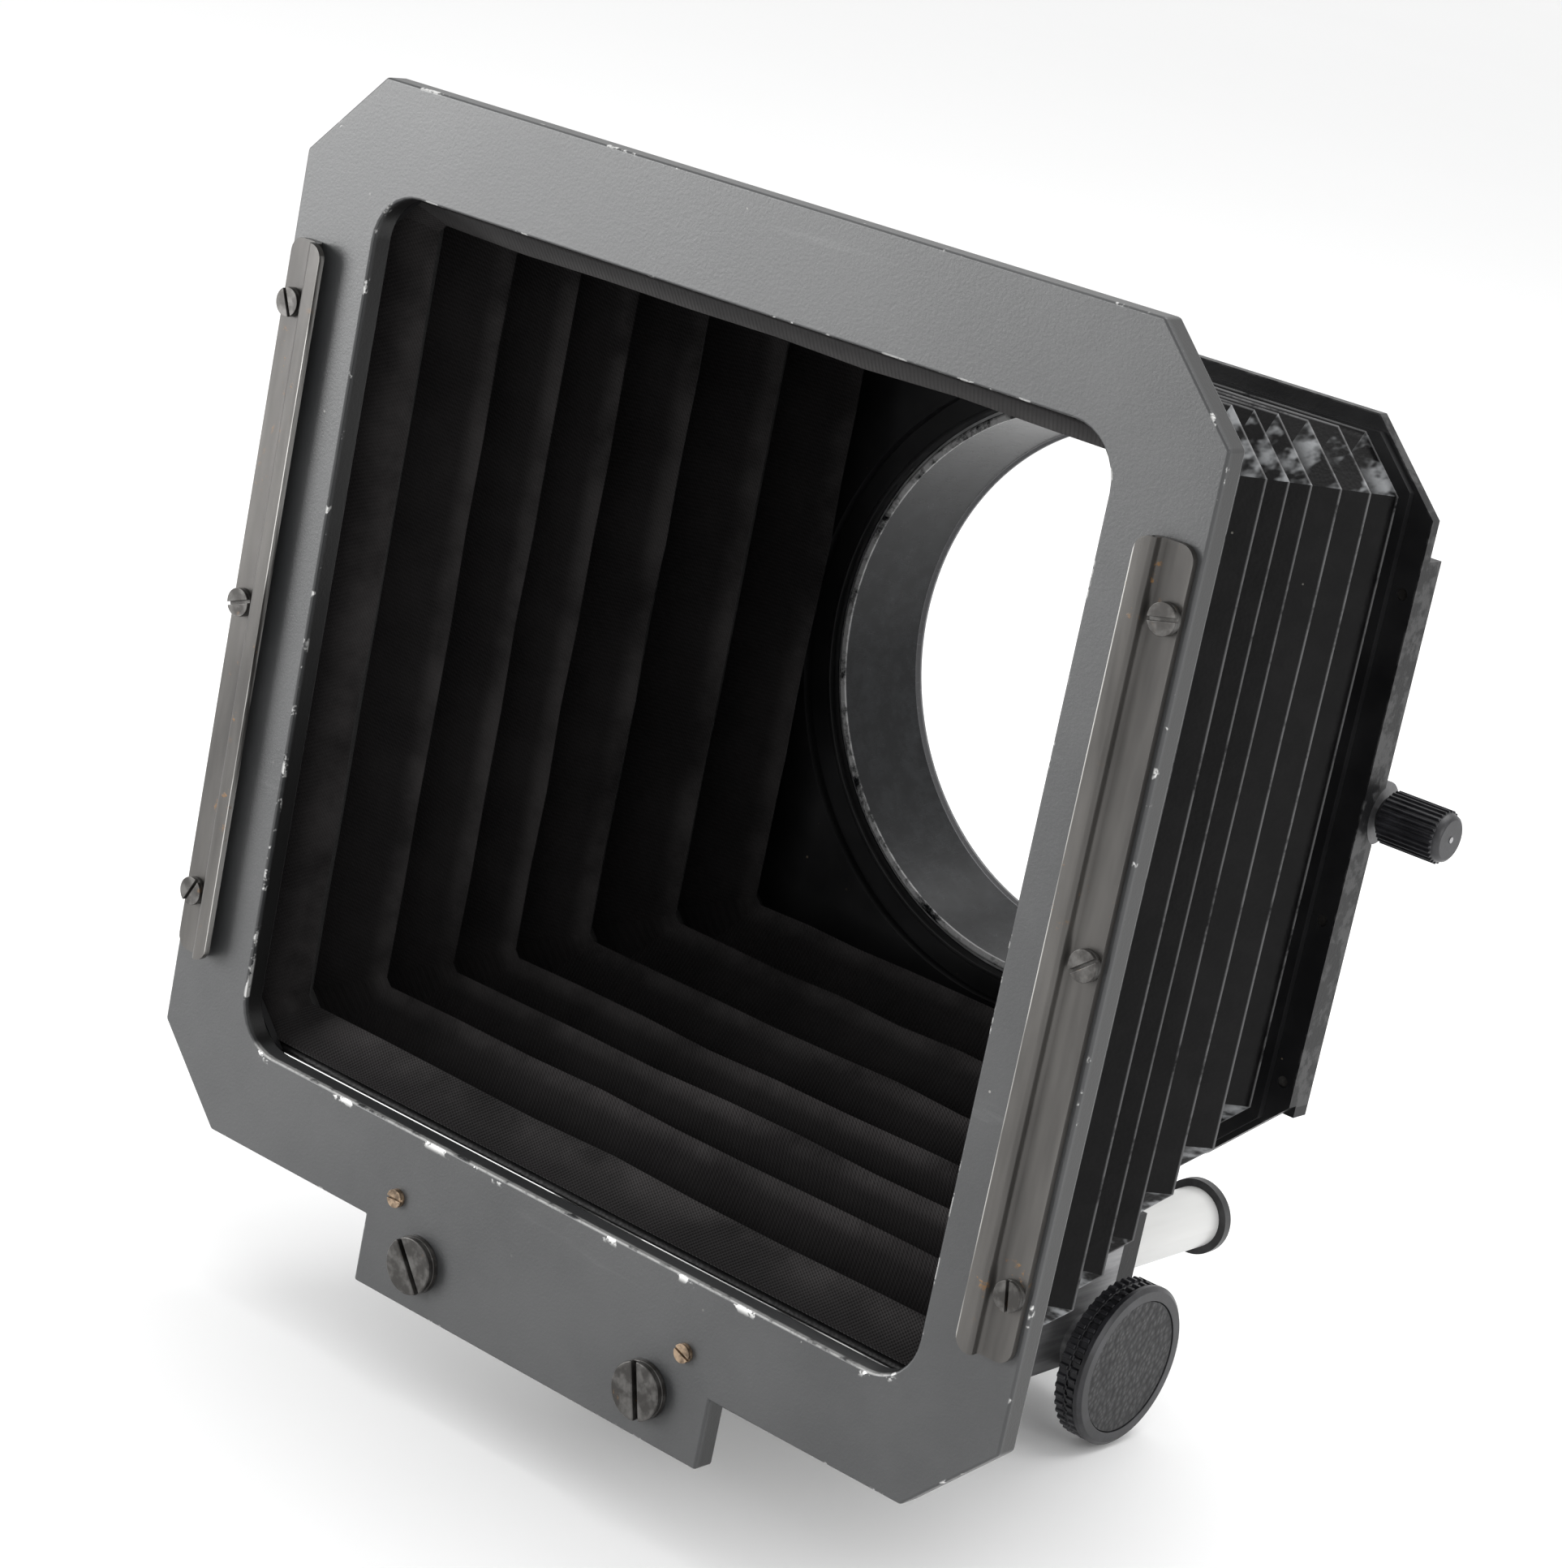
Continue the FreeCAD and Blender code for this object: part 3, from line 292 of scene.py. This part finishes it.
plate_grey.bump(grit * 0.6 + bare * -1.5 + chips * 0.2, 0.00004, 0.8)

plate = bmesh.new()
squared(
    plate, (-PLATE_HALF, PLATE_MIDDLE - PLATE_TALL), (PLATE_HALF, PLATE_MIDDLE + PLATE_TALL), CUT_CORNER, 1
)
foot = min(plate.edges, key=lambda edge: (edge.verts[0].co + edge.verts[1].co).z)
split = bmesh.ops.subdivide_edges(plate, edges=[foot], cuts=2)
inner = [g for g in split["geom_inner"] if isinstance(g, bmesh.types.BMVert)]
for vert in inner:
    vert.co.x = TAB_HALF if vert.co.x > 0 else -TAB_HALF
ledge = plate.edges.get(inner)
drop = bmesh.ops.extrude_edge_only(plate, edges=[ledge])
bmesh.ops.translate(
    plate, verts=[g for g in drop["geom"] if isinstance(g, bmesh.types.BMVert)],
    vec=(0, 0, plate_low.z - (PLATE_MIDDLE - PLATE_TALL)),
)
bmesh.ops.dissolve_edges(plate, edges=[ledge], use_verts=False)
squared(
    plate, (-WINDOW_HALF, PLATE_MIDDLE - WINDOW_TALL), (WINDOW_HALF, PLATE_MIDDLE + WINDOW_TALL),
    WINDOW_CORNER, 8,
)
filled(plate, plate_low.y, plate_high.y - plate_low.y)
front_plate = piece("hood_front_plate", plate, plate_grey, "front_standard", bevel=0.00035)
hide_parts("front_plate")

# Two strips of thin steel, bent to a Z and open towards each other, hold a mask or a filter card in
# front of the window. Their finish has rubbed down to brown-grey steel, with a little rust.
rail_steel = Finish("rail_steel", Metallic=0.55)
rubbed = rail_steel.speckle(60, 4, 0.65, (1.6, 1, 0.22))
streak = rail_steel.speckle(700, 3, 0.6, (1, 1, 0.06))
rust = rail_steel.speckle(420, 5, 0.75).between(0.60, 0.68) * rail_steel.speckle(55, 2).between(0.5, 0.62)
lip_wear = 1 - (abs(rail_steel.x) - 0.0670).between(0.00002, 0.0002)
rail_shade = rail_steel.mix(rubbed.between(0.35, 0.7), (0.034, 0.032, 0.030), (0.085, 0.081, 0.076))
rail_shade = rail_steel.mix(lip_wear * streak.between(0.35, 0.6) * 0.8, rail_shade, (0.50, 0.49, 0.47))
rail_shade = rail_steel.mix(rust * 0.85, rail_shade, (0.19, 0.10, 0.035))
rail_steel.wire(Base_Color=rail_shade, Roughness=0.26 + streak * 0.14 + rust * 0.3)
rail_steel.bump(streak + rust * 0.8, 0.00003, 0.6)

for side, node in ((-1, "front_rail_left"), (1, "front_rail_right")):
    low, high = (Vector(corner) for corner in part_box(node))
    strip = bmesh.new()
    section = [(0.0742, -0.1064), (0.0696, -0.1064), (0.0696, -0.1081), (0.0670, -0.1081)]
    verts = [strip.verts.new((side * x, y, low.z)) for x, y in section]
    edges = [strip.edges.new(pair) for pair in zip(verts, verts[1:])]
    tall = bmesh.ops.extrude_edge_only(strip, edges=edges)
    bmesh.ops.translate(
        strip, verts=[g for g in tall["geom"] if isinstance(g, bmesh.types.BMVert)],
        vec=(0, 0, high.z - low.z),
    )
    folds = [edge for edge in strip.edges if len(edge.link_faces) == 2]
    bmesh.ops.bevel(strip, geom=folds, offset=0.0006, affect="EDGES", segments=4, profile=0.5, material=-1)
    ends = [vert for vert in strip.verts if len(vert.link_edges) == 2]
    bmesh.ops.bevel(strip, geom=ends, offset=0.0020, affect="VERTICES", segments=5, profile=0.5, material=-1)
    bmesh.ops.recalc_face_normals(strip, faces=strip.faces[:])
    if sum(face.normal.y * face.calc_area() for face in strip.faces) > 0:
        bmesh.ops.reverse_faces(strip, faces=strip.faces[:])
    rail = piece(
        f"hood_{node}", strip, rail_steel, "front_standard",
        bevel=0.00018, wall=0.0009,
    )
    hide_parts(node)

# Slotted screws with round or flat heads hold the rails, the rods and the covers. They are plain
# turned steel, darkened all over, with a little rust; two small ones on the tab are brown.
screw_steel = Finish("screw_steel", Metallic=0.6)
tarnish = screw_steel.speckle(420, 3, 0.6)
turning = screw_steel.speckle(2400, 2, 0.5)
screw_shade = screw_steel.mix(tarnish.between(0.4, 0.66), (0.030, 0.028, 0.026), (0.085, 0.082, 0.078))
rusted = screw_steel.speckle(520, 4).between(0.64, 0.72)
screw_shade = screw_steel.mix(rusted * 0.5, screw_shade, (0.13, 0.075, 0.035))
screw_steel.wire(Base_Color=screw_shade, Roughness=0.26 + tarnish * 0.2)
screw_steel.bump(turning, 0.00002, 0.6)

screw_brown = Finish("screw_brown", Metallic=0.8, Roughness=0.45)
brown = screw_brown.speckle(900, 3)
screw_brown.wire(
    Base_Color=screw_brown.mix(brown.between(0.35, 0.65), (0.09, 0.065, 0.045), (0.30, 0.22, 0.15))
)


def slotted(bm, spot, axis, radius, high, turn, slot, segments=40):
    """A screw's head that stands on spot: a disc with two lands on it and the slot left between them."""
    aim = Vector((0, 0, 1)).rotation_difference(Vector(axis)).to_matrix().to_4x4()
    stand = Matrix.Translation(spot) @ aim @ Matrix.Rotation(turn, 4, "Z")
    deep = high * 0.5
    bmesh.ops.create_cone(
        bm, cap_ends=True, segments=segments, radius1=radius, radius2=radius, depth=high - deep,
        matrix=stand @ Matrix.Translation((0, 0, (high - deep) / 2)),
    )
    for half in (0, pi):
        land = bmesh.new()
        bmesh.ops.create_circle(land, cap_ends=True, segments=segments, radius=radius)
        bmesh.ops.bisect_plane(
            land, geom=land.verts[:] + land.edges[:] + land.faces[:], plane_co=(0, slot / 2, 0),
            plane_no=(0, -1, 0), clear_outer=True,
        )
        up = bmesh.ops.extrude_face_region(land, geom=land.faces[:], use_keep_orig=True)
        top = [g for g in up["geom"] if isinstance(g, bmesh.types.BMVert)]
        bmesh.ops.translate(land, verts=top, vec=(0, 0, deep))
        bmesh.ops.recalc_face_normals(land, faces=land.faces[:])
        bmesh.ops.transform(
            land, verts=land.verts[:],
            matrix=stand @ Matrix.Translation((0, 0, high - deep)) @ Matrix.Rotation(half, 4, "Z"),
        )
        spare = bpy.data.meshes.new("land")
        land.to_mesh(spare)
        land.free()
        bm.from_mesh(spare)
        bpy.data.meshes.remove(spare)


def screws(name, node, spots, axis, radius, high, slot, finish, body, bevel):
    heads = bmesh.new()
    for spot, angle in spots:
        slotted(heads, spot, axis, radius, high, radians(angle), slot)
    made = piece(name, heads, finish, body, bevel=bevel, steps=3)
    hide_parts(node)


rail_spots = [
    (Vector((side * 0.0724, -0.1064, PLATE_MIDDLE + step * 0.042)), angle)
    for side, step, angle in ((-1, 1, 115), (-1, 0, 20), (-1, -1, 62), (1, 1, 12), (1, 0, 38), (1, -1, 100))
]
screws("rail_screw_heads", "front_rail_screws", rail_spots, (0, -1, 0), 0.0020, 0.0011, 0.00045,
       screw_steel, "front_standard", 0.00038)
tab_spots = [(Vector((-0.0208, -0.1055, -0.0795)), -52), (Vector((0.0208, -0.1055, -0.0795)), -74)]
screws("tab_screw_heads", "tab_screws", tab_spots, (0, -1, 0), 0.0040, 0.0018, 0.0008,
       screw_steel, "front_standard", 0.00030)
pin_spots = [(Vector((-0.0262, -0.1055, -0.072)), 4), (Vector((0.0262, -0.1055, -0.072)), -20)]
screws("backing_screw_heads", "backing_screws", pin_spots, (0, -1, 0), 0.00128, 0.0008, 0.0003,
       screw_brown, "front_standard", 0.00018)

# A bar behind the tab takes the ends of two ground steel rods, plated dull white, that carry the front
# plate. A steel rack is let into the right rod's underside, and a black ring stops each rod.


def dress(finish, *nodes):
    """Gives made nodes a finish of their own."""
    for node in nodes:
        bpy.data.objects[node].data.materials.clear()
        bpy.data.objects[node].data.materials.append(finish.material)


def bar(name, node, finish, body, radius, start, end, bevel, segments=64):
    """A round bar between two points on a line along X or Y."""
    start, end = Vector(start), Vector(end)
    made = bmesh.new()
    line = end - start
    aim = Vector((0, 0, 1)).rotation_difference(line).to_matrix().to_4x4()
    bmesh.ops.create_cone(
        made, cap_ends=True, segments=segments, radius1=radius, radius2=radius, depth=line.length,
        matrix=Matrix.Translation((start + end) / 2) @ aim,
    )
    made = piece(name, made, finish, body, bevel=bevel, steps=3)
    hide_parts(node)


rod_white = Finish("rod_white", Metallic=0.25)
ground = rod_white.speckle(120, 3, 0.6, (1, 0.12, 1))
rod_white.wire(
    Base_Color=rod_white.mix(ground.between(0.3, 0.75), (0.54, 0.54, 0.53), (0.64, 0.64, 0.63)),
    Roughness=0.24 + ground * 0.16,
)
black_ring = Finish("black_ring", Roughness=0.4)
ring_dust = black_ring.speckle(500, 3)
black_ring.wire(
    Base_Color=black_ring.mix(ring_dust.between(0.4, 0.7), (0.012, 0.012, 0.013), (0.030, 0.030, 0.031))
)
bar("rod_left_ground", "rod_left", rod_white, "front_standard", 0.0047,
    (-0.0208, -0.099, -0.0795), (-0.0208, 0.023, -0.0795), 0.0004)
dress(rod_white, "rod_right")
plain_steel = Finish("plain_steel", Metallic=0.9)
drawn = plain_steel.speckle(800, 3, 0.6, (0.1, 1, 1))
plain_steel.wire(
    Base_Color=plain_steel.mix(drawn.between(0.3, 0.7), (0.30, 0.30, 0.30), (0.45, 0.45, 0.46)),
    Roughness=0.25 + drawn * 0.2,
)
dress(plain_steel, "rod_rack", "drive_shaft", "screw_spindle", "clamp_shoe", "ring_clip")
dress(plate_grey, "backing_plate")
dress(black_ring, "rod_end_rings")
dress(screw_steel, "rod_end_screws", "cover_screws", "rear_rail_screws", "pinion_cover_screws")

# The bellows is a stiff pleated sleeve that narrows towards the back. Its outside is thin black
# leatherette creased over card strips, its inside is matt black cloth, and its corners fold in leaves.
FRONT_END, BACK_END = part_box("bellows")[0][1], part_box("bellows")[1][1]
SPAN = BACK_END - FRONT_END
FRONT_HALF, BACK_HALF, BACK_RISE = (0.0698, 0.0656), (0.0469, 0.0515), 0.0014
SMALL_CUT, LARGE_CUT, FOLD_DEPTH = 0.0012, 0.0072, 0.0072
ridges = (0.15, 0.28, 0.392, 0.51, 0.67, 0.84)
lines = (0.0, *ridges, 1.0)
pleats = [(0.0, 0.35)]
for here, after in zip(lines, lines[1:]):
    pleats += [((here + after) / 2, 0.0), (after, 1.0)]


def sleeve(inset, deep, sharp, cuts, wobble, grain):
    """The pleated wall. Each row of corners is drawn out of the last and set to its own size."""
    made = bmesh.new()
    fold = made.verts.layers.float.new("fold")
    corner = made.verts.layers.int.new("corner")
    leaf = made.faces.layers.float.new("leaf")

    def settle(verts, share, out):
        inward = inset + deep * (1 - out)
        half_x = FRONT_HALF[0] + share * (BACK_HALF[0] - FRONT_HALF[0]) - inward
        half_z = FRONT_HALF[1] + share * (BACK_HALF[1] - FRONT_HALF[1]) - inward
        middle = PLATE_MIDDLE + share * BACK_RISE
        cut = SMALL_CUT + (LARGE_CUT - SMALL_CUT) * out * sharp
        for vert in verts:
            octant = vert[corner]
            right_side, top, on_side = octant in (0, 1, 2, 3), octant in (2, 3, 4, 5), octant in (1, 2, 5, 6)
            x, z = half_x - (0 if on_side else cut), half_z - (cut if on_side else 0)
            vert.co = (x if right_side else -x, FRONT_END + share * SPAN, middle + (z if top else -z))
            vert[fold] = out

    ring = bmesh.ops.create_circle(made, cap_ends=False, segments=8, radius=1)["verts"]
    for number, vert in enumerate(ring):
        vert[corner] = number
    settle(ring, *pleats[0])
    edges = made.edges[:]
    for share, out in pleats[1:]:
        drawn = bmesh.ops.extrude_edge_only(made, edges=edges)["geom"]
        settle([g for g in drawn if isinstance(g, bmesh.types.BMVert)], share, out)
        edges = [g for g in drawn if isinstance(g, bmesh.types.BMEdge)]
        for face in {face for edge in edges for face in edge.link_faces}:
            pair = {vert[corner] for vert in face.verts}
            face[leaf] = float(pair in ({0, 1}, {2, 3}, {4, 5}, {6, 7}))
    bmesh.ops.recalc_face_normals(made, faces=made.faces[:])
    middle_face = max(made.faces, key=lambda face: face.calc_center_median().x)
    if middle_face.normal.x < 0:
        bmesh.ops.reverse_faces(made, faces=made.faces[:])
    bmesh.ops.subdivide_edges(made, edges=made.edges[:], cuts=cuts, use_grid_fill=True)
    made.normal_update()
    for vert in made.verts:
        at_end = min(abs(vert.co.y - FRONT_END), abs(vert.co.y - BACK_END)) < 0.0005
        if not at_end:
            sway = noise.noise(vert.co * grain) * wobble * (1 - 0.6 * vert[fold])
            vert.co += vert.normal * sway
    return made


leatherette = Finish("leatherette", IOR=1.42, Specular_IOR_Level=0.16)
fold = leatherette.node("ShaderNodeAttribute", {"attribute_name": "fold"}, {}, "Fac")
leaf = leatherette.node("ShaderNodeAttribute", {"attribute_name": "leaf"}, {}, "Fac")
pores = leatherette.node("ShaderNodeTexVoronoi", {}, {"Vector": leatherette.place, "Scale": 1900}, "Distance")
crease = leatherette.speckle(160, 5, 0.7)
edge_wear = fold.between(0.955, 0.99) * crease.between(0.30, 0.50)
# Painted highlight: bright glossy streaks on the corner leaves of the folds, laid into the colour as near
# white.
painted_leaf_highlight = leaf * leatherette.speckle(260, 3, 0.6, (1, 0.35, 1)).between(0.44, 0.60) * fold.between(0.40, 0.95)
lint = leatherette.specks(130, 0.00018)
skin_shade = leatherette.mix(crease.between(0.35, 0.7), (0.0022, 0.0021, 0.0023), (0.0050, 0.0048, 0.0050))
skin_shade = leatherette.mix(painted_leaf_highlight * 0.65, skin_shade, (0.36, 0.37, 0.38))
skin_shade = leatherette.mix(edge_wear * 0.35, skin_shade, (0.34, 0.34, 0.345))
skin_shade = leatherette.mix(lint * 0.5, skin_shade, (0.22, 0.21, 0.19))
leatherette.wire(Base_Color=skin_shade, Roughness=0.36 + crease * 0.14 - painted_leaf_highlight * 0.08)
leatherette.bump(pores * 0.5 + crease * 1.4 + painted_leaf_highlight * 0.6, 0.00008, 0.7)

cloth = Finish(
    "lining_cloth", Roughness=0.95, Sheen_Weight=0.06, Sheen_Roughness=0.5, Specular_IOR_Level=0.10
)
# Painted highlight: the crests of the lining's folds, as seen from inside the hood, are lightened in patches.
crest_highlight = 1 - cloth.node("ShaderNodeAttribute", {"attribute_name": "fold"}, {}, "Fac").between(0.02, 0.3)
weft = ((cloth.x + cloth.z) * (2 * pi / 0.00062)).wave()
warp = (cloth.y * (2 * pi / 0.00055)).wave()
weave = weft * warp * 0.5 + 0.5
pile = cloth.speckle(70, 4, 0.6)
fluff = cloth.specks(75, 0.00035) * cloth.speckle(25).between(0.52, 0.62)
cloth_shade = cloth.mix(pile.between(0.3, 0.7), (0.0030, 0.0024, 0.0026), (0.0075, 0.0066, 0.0068))
cloth_shade = cloth.mix(weave * 0.30, cloth_shade, (0.019, 0.018, 0.018))
cloth_shade = cloth.mix(crest_highlight * pile.between(0.25, 0.7) * 0.6, cloth_shade, (0.040, 0.037, 0.037))
cloth_shade = cloth.mix(fluff * 0.25, cloth_shade, (0.10, 0.09, 0.085))
cloth.wire(Base_Color=cloth_shade)
cloth.bump(weave + pile * 1.5, 0.00012, 0.9)

skin = piece(
    "bellows_skin", sleeve(0.0, FOLD_DEPTH, 1.0, 5, 0.00035, 90), leatherette,
    smooth=20, wall=0.0004,
)
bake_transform(skin)
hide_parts("bellows")
lining = piece(
    "bellows_lining", sleeve(0.0013, FOLD_DEPTH, 0.7, 7, 0.0006, 90), cloth,
    smooth=25, wall=0.0003,
)
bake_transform(lining)

# The rear plate is black-painted sheet with a round hole, and two grooved rails on its back take the
# lens board. Its front carries the bellows' end frame, with old glue and dust in the corner.
black_paint = Finish("black_paint", IOR=1.42, Specular_IOR_Level=0.3)
dull = black_paint.speckle(70, 4)
rear_rim = cut_corner_distance(black_paint, 0.0522, 0.0542, -0.0007, 0.0117)
on_edge = rear_rim.between(-0.0002, -0.0001) * (1 - rear_rim.between(0.0001, 0.0003))
rubbed_edge = on_edge * black_paint.speckle(260, 4, 0.7).between(0.45, 0.58)
crumbs = black_paint.specks(240, 0.00025) * black_paint.speckle(60).between(0.46, 0.58)
paint_shade = black_paint.mix(dull.between(0.3, 0.7), (0.0050, 0.0050, 0.0055), (0.0105, 0.0105, 0.0110))
paint_shade = black_paint.mix(rubbed_edge * 0.25, paint_shade, (0.15, 0.15, 0.15))
paint_shade = black_paint.mix(crumbs * 0.6, paint_shade, (0.17, 0.13, 0.09))
black_paint.wire(Base_Color=paint_shade, Roughness=0.32 + dull * 0.2)
black_paint.bump(black_paint.speckle(1800, 2) + crumbs * 2, 0.00003, 0.7)
dress(
    black_paint, "rear_plate", "rear_rail_left", "rear_rail_right", "adapter_board", "block_cover",
    "board_stops", "bellows_front_frame", "bellows_rear_frame",
)

# The carriage block slides on the rods in brass bushes. It is milled aluminium, left a light satin grey,
# with a small cover below the pinion and a flanged bush where the knob's shaft comes out.
milled = Finish("milled_alloy", Metallic=0.6)
cutter = milled.speckle(900, 3, 0.6, (1, 0.1, 1))
milled_shade = milled.mix(cutter.between(0.3, 0.7), (0.20, 0.20, 0.205), (0.32, 0.32, 0.325))
milled.wire(Base_Color=milled_shade, Roughness=0.30 + cutter * 0.15)
milled.bump(cutter, 0.00002, 0.5)
dress(milled, "carriage_block", "shaft_bush", "pinion_cover")
brass = Finish("brass", Metallic=1.0)
toned = brass.speckle(300, 3)
brass.wire(
    Base_Color=brass.mix(toned.between(0.3, 0.7), (0.42, 0.30, 0.12), (0.62, 0.46, 0.20)),
    Roughness=0.25 + toned * 0.2,
)
dress(brass, "rod_bushes", "drive_pinion")

# The drive knob is turned black alloy with two rows of ribs cut round it and a groove between them.
# Its flat end is sunk, and a disc of black leatherette is glued in.
knob_black = Finish("knob_black", IOR=1.5)
handled = knob_black.speckle(350, 4, 0.65)
knob_shade = knob_black.mix(handled.between(0.4, 0.7), (0.010, 0.010, 0.012), (0.026, 0.026, 0.030))
knob_black.wire(Base_Color=knob_shade, Roughness=0.30 + handled * 0.15)
knob_black.bump(knob_black.speckle(2200, 2), 0.00002, 0.5)

KNOB = Vector((0.0361, -0.020, -0.08653))


def lathe(centre, section, segments):
    """Turns a section of (along X, radius) right round the X axis through centre."""
    made = bmesh.new()
    verts = [made.verts.new(centre + Vector((x, 0, r))) for x, r in section]
    edges = [made.edges.new(pair) for pair in zip(verts, verts[1:] + verts[:1])]
    bmesh.ops.spin(
        made, geom=verts + edges, cent=centre, axis=(1, 0, 0), angle=2 * pi, steps=segments, use_merge=True
    )
    bmesh.ops.remove_doubles(made, verts=made.verts[:], dist=1e-7)
    bmesh.ops.recalc_face_normals(made, faces=made.faces[:])
    return made


def ribs(made, centre, start, end, radius, thickness, depth):
    """Raises every second facet of a turned band as a rib."""
    def spot(face):
        return face.calc_center_median() - centre

    band = [
        face for face in made.faces
        if start < spot(face).x < end and abs(spot(face).yz.length - radius) < 0.0003
    ]
    band.sort(key=lambda face: (round(face.calc_center_median().x, 5), spot(face).yz.angle_signed((1, 0))))
    bmesh.ops.inset_individual(made, faces=band[::2], thickness=thickness, depth=depth, use_even_offset=True)


wheel = lathe(KNOB, [
    (0, 0.0015), (0, 0.0112), (0.0003, 0.0117), (0.0019, 0.0117), (0.0019, 0.0113), (0.0023, 0.0113),
    (0.0023, 0.0117), (0.0036, 0.0117), (0.0037, 0.0122), (0.0044, 0.0122), (0.0049, 0.0116),
    (0.0049, 0.0101), (0.0041, 0.0101), (0.0041, 0.0015),
], 96)
ribs(wheel, KNOB, 0.0003, 0.0019, 0.0117, 0.00010, 0.00045)
ribs(wheel, KNOB, 0.0023, 0.0036, 0.0117, 0.00010, 0.00045)
wheel = piece("knob_wheel", wheel, knob_black, "focus_drive", bevel=0.00012)
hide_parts("drive_knob")

inlay_leather = Finish("inlay_leather", IOR=1.45)
pebbles = inlay_leather.node(
    "ShaderNodeTexVoronoi", {"feature": "SMOOTH_F1"},
    {"Vector": inlay_leather.place, "Scale": 1150, "Smoothness": 0.4}, "Distance",
)
inlay_leather.wire(
    Base_Color=inlay_leather.mix(pebbles.between(0.2, 0.7), (0.020, 0.020, 0.021), (0.008, 0.008, 0.009)),
    Roughness=0.42 + pebbles * 0.2,
)
inlay_leather.bump(1 - pebbles, 0.00022, 1.0)
bar("knob_inlay_disc", "knob_inlay", inlay_leather, "focus_drive", 0.01002,
    KNOB + Vector((0.00405, 0, 0)), KNOB + Vector((0.00475, 0, 0)), 0.00012, 96)

# The lens ring screws on to a lens and stays there. It is a turned dark grey ring, held by a spring clip
# in a black collar pressed into the lens board, and its front and rear edges are worn bright.
ring_grey = Finish("ring_grey", Metallic=0.2, Specular_IOR_Level=0.25)
scratch = ring_grey.speckle(260, 5, 0.75)
fine = ring_grey.speckle(1500, 3, 0.6, (1, 0.15, 1))
front_wear = 1 - (ring_grey.y + 0.0104).between(0.0001, 0.0004)
rear_wear = (ring_grey.y - 0.0045).between(0, 0.0001) * (1 - (ring_grey.y - 0.0053).between(0, 0.0001))
ring_shade = ring_grey.mix(scratch.between(0.35, 0.7), (0.0055, 0.0062, 0.0072), (0.0170, 0.0185, 0.0205))
ring_shade = ring_grey.mix(scratch.between(0.66, 0.74) * 0.4, ring_shade, (0.20, 0.20, 0.21))
ring_shade = ring_grey.mix(front_wear * scratch.between(0.35, 0.55) * 0.8, ring_shade, (0.50, 0.50, 0.50))
ring_shade = ring_grey.mix(rear_wear * 0.6, ring_shade, (0.34, 0.34, 0.35))
ring_grey.wire(Base_Color=ring_shade, Roughness=0.20 + fine * 0.12)
ring_grey.bump(fine + scratch, 0.00002, 0.6)


def turned(name, node, section, finish, segments=160):
    """Turns a closed section of (along Y, radius) round the lens axis."""
    made = bmesh.new()
    verts = [made.verts.new((r, y, 0)) for y, r in section]
    edges = [made.edges.new(pair) for pair in zip(verts, verts[1:] + verts[:1])]
    bmesh.ops.spin(
        made, geom=verts + edges, cent=(0, 0, 0), axis=(0, 1, 0), angle=2 * pi, steps=segments, use_merge=True
    )
    bmesh.ops.remove_doubles(made, verts=made.verts[:], dist=1e-7)
    bmesh.ops.recalc_face_normals(made, faces=made.faces[:])
    made = piece(name, made, finish, "lens_mount", bevel=0.0001)
    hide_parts(node)


thread = []
for start in (-0.0100, -0.0093):
    thread += [(start, 0.0427), (start + 0.00035, 0.04235)]
turned("lens_ring_turned", "lens_ring", [
    (-0.0104, 0.0414), (-0.0104, 0.0422), *thread, (-0.0086, 0.0427), (-0.0025, 0.0427), (-0.0025, 0.0452),
    (0, 0.0452), (0, 0.0410), (0.0055, 0.0410), (0.0055, 0.0388), (0.0051, 0.0388), (0.0046, 0.0393),
], ring_grey)
turned("adapter_collar_turned", "adapter_collar", [
    (-0.0116, 0.0433), (-0.0116, 0.0438), (-0.0100, 0.0438), (-0.0100, 0.0444), (-0.0025, 0.0444),
    (-0.0025, 0.04275), (-0.0086, 0.04275), (-0.0086, 0.0433),
], black_paint)

# A ribbed thumb screw on the right turns in a round boss let into the rail, and pushes a small shoe
# against the collar. The end of its steel stem shows as a bright dot.
THUMB = Vector((0.0520, -0.0065, -0.0006))
grip = lathe(THUMB, [
    (0, 0.0011), (0, 0.0026), (0.0009, 0.00355), (0.0097, 0.00355), (0.0104, 0.0033), (0.0107, 0.0029),
    (0.0107, 0.00045), (0.0077, 0.00045), (0.0077, 0.0011),
], 56)
ribs(grip, THUMB, 0.0010, 0.0097, 0.00355, 0.00008, 0.00035)
grip = piece("thumb_grip", grip, knob_black, "thumb_screw", bevel=0.00010)
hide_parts("thumb_knob")
bead_blasted = Finish("boss_grey", Metallic=0.4, Roughness=0.38)
blast = bead_blasted.speckle(1500, 3)
bead_blasted.wire(Base_Color=bead_blasted.mix(blast, (0.07, 0.07, 0.073), (0.15, 0.15, 0.153)))
dress(bead_blasted, "clamp_boss")

# The hood stands on a plain pale floor, just below the knob, which is its lowest point.
floor_white = Finish("floor_white", Roughness=0.6)
fog = floor_white.speckle(2, 2)
floor_white.wire(Base_Color=floor_white.mix(fog, (0.90, 0.90, 0.90), (0.92, 0.92, 0.92)))
ground_sheet = bmesh.new()
bmesh.ops.create_grid(
    ground_sheet, x_segments=1, y_segments=1, size=30,
    matrix=Matrix.Translation((0, 0, cad_box[0][2] - 0.0005)),
)
floor_mesh = bpy.data.meshes.new("floor")
ground_sheet.to_mesh(floor_mesh)
ground_sheet.free()
floor_mesh.materials.append(floor_white.material)
floor = bpy.data.objects.new("floor", floor_mesh)
bpy.context.collection.objects.link(floor)
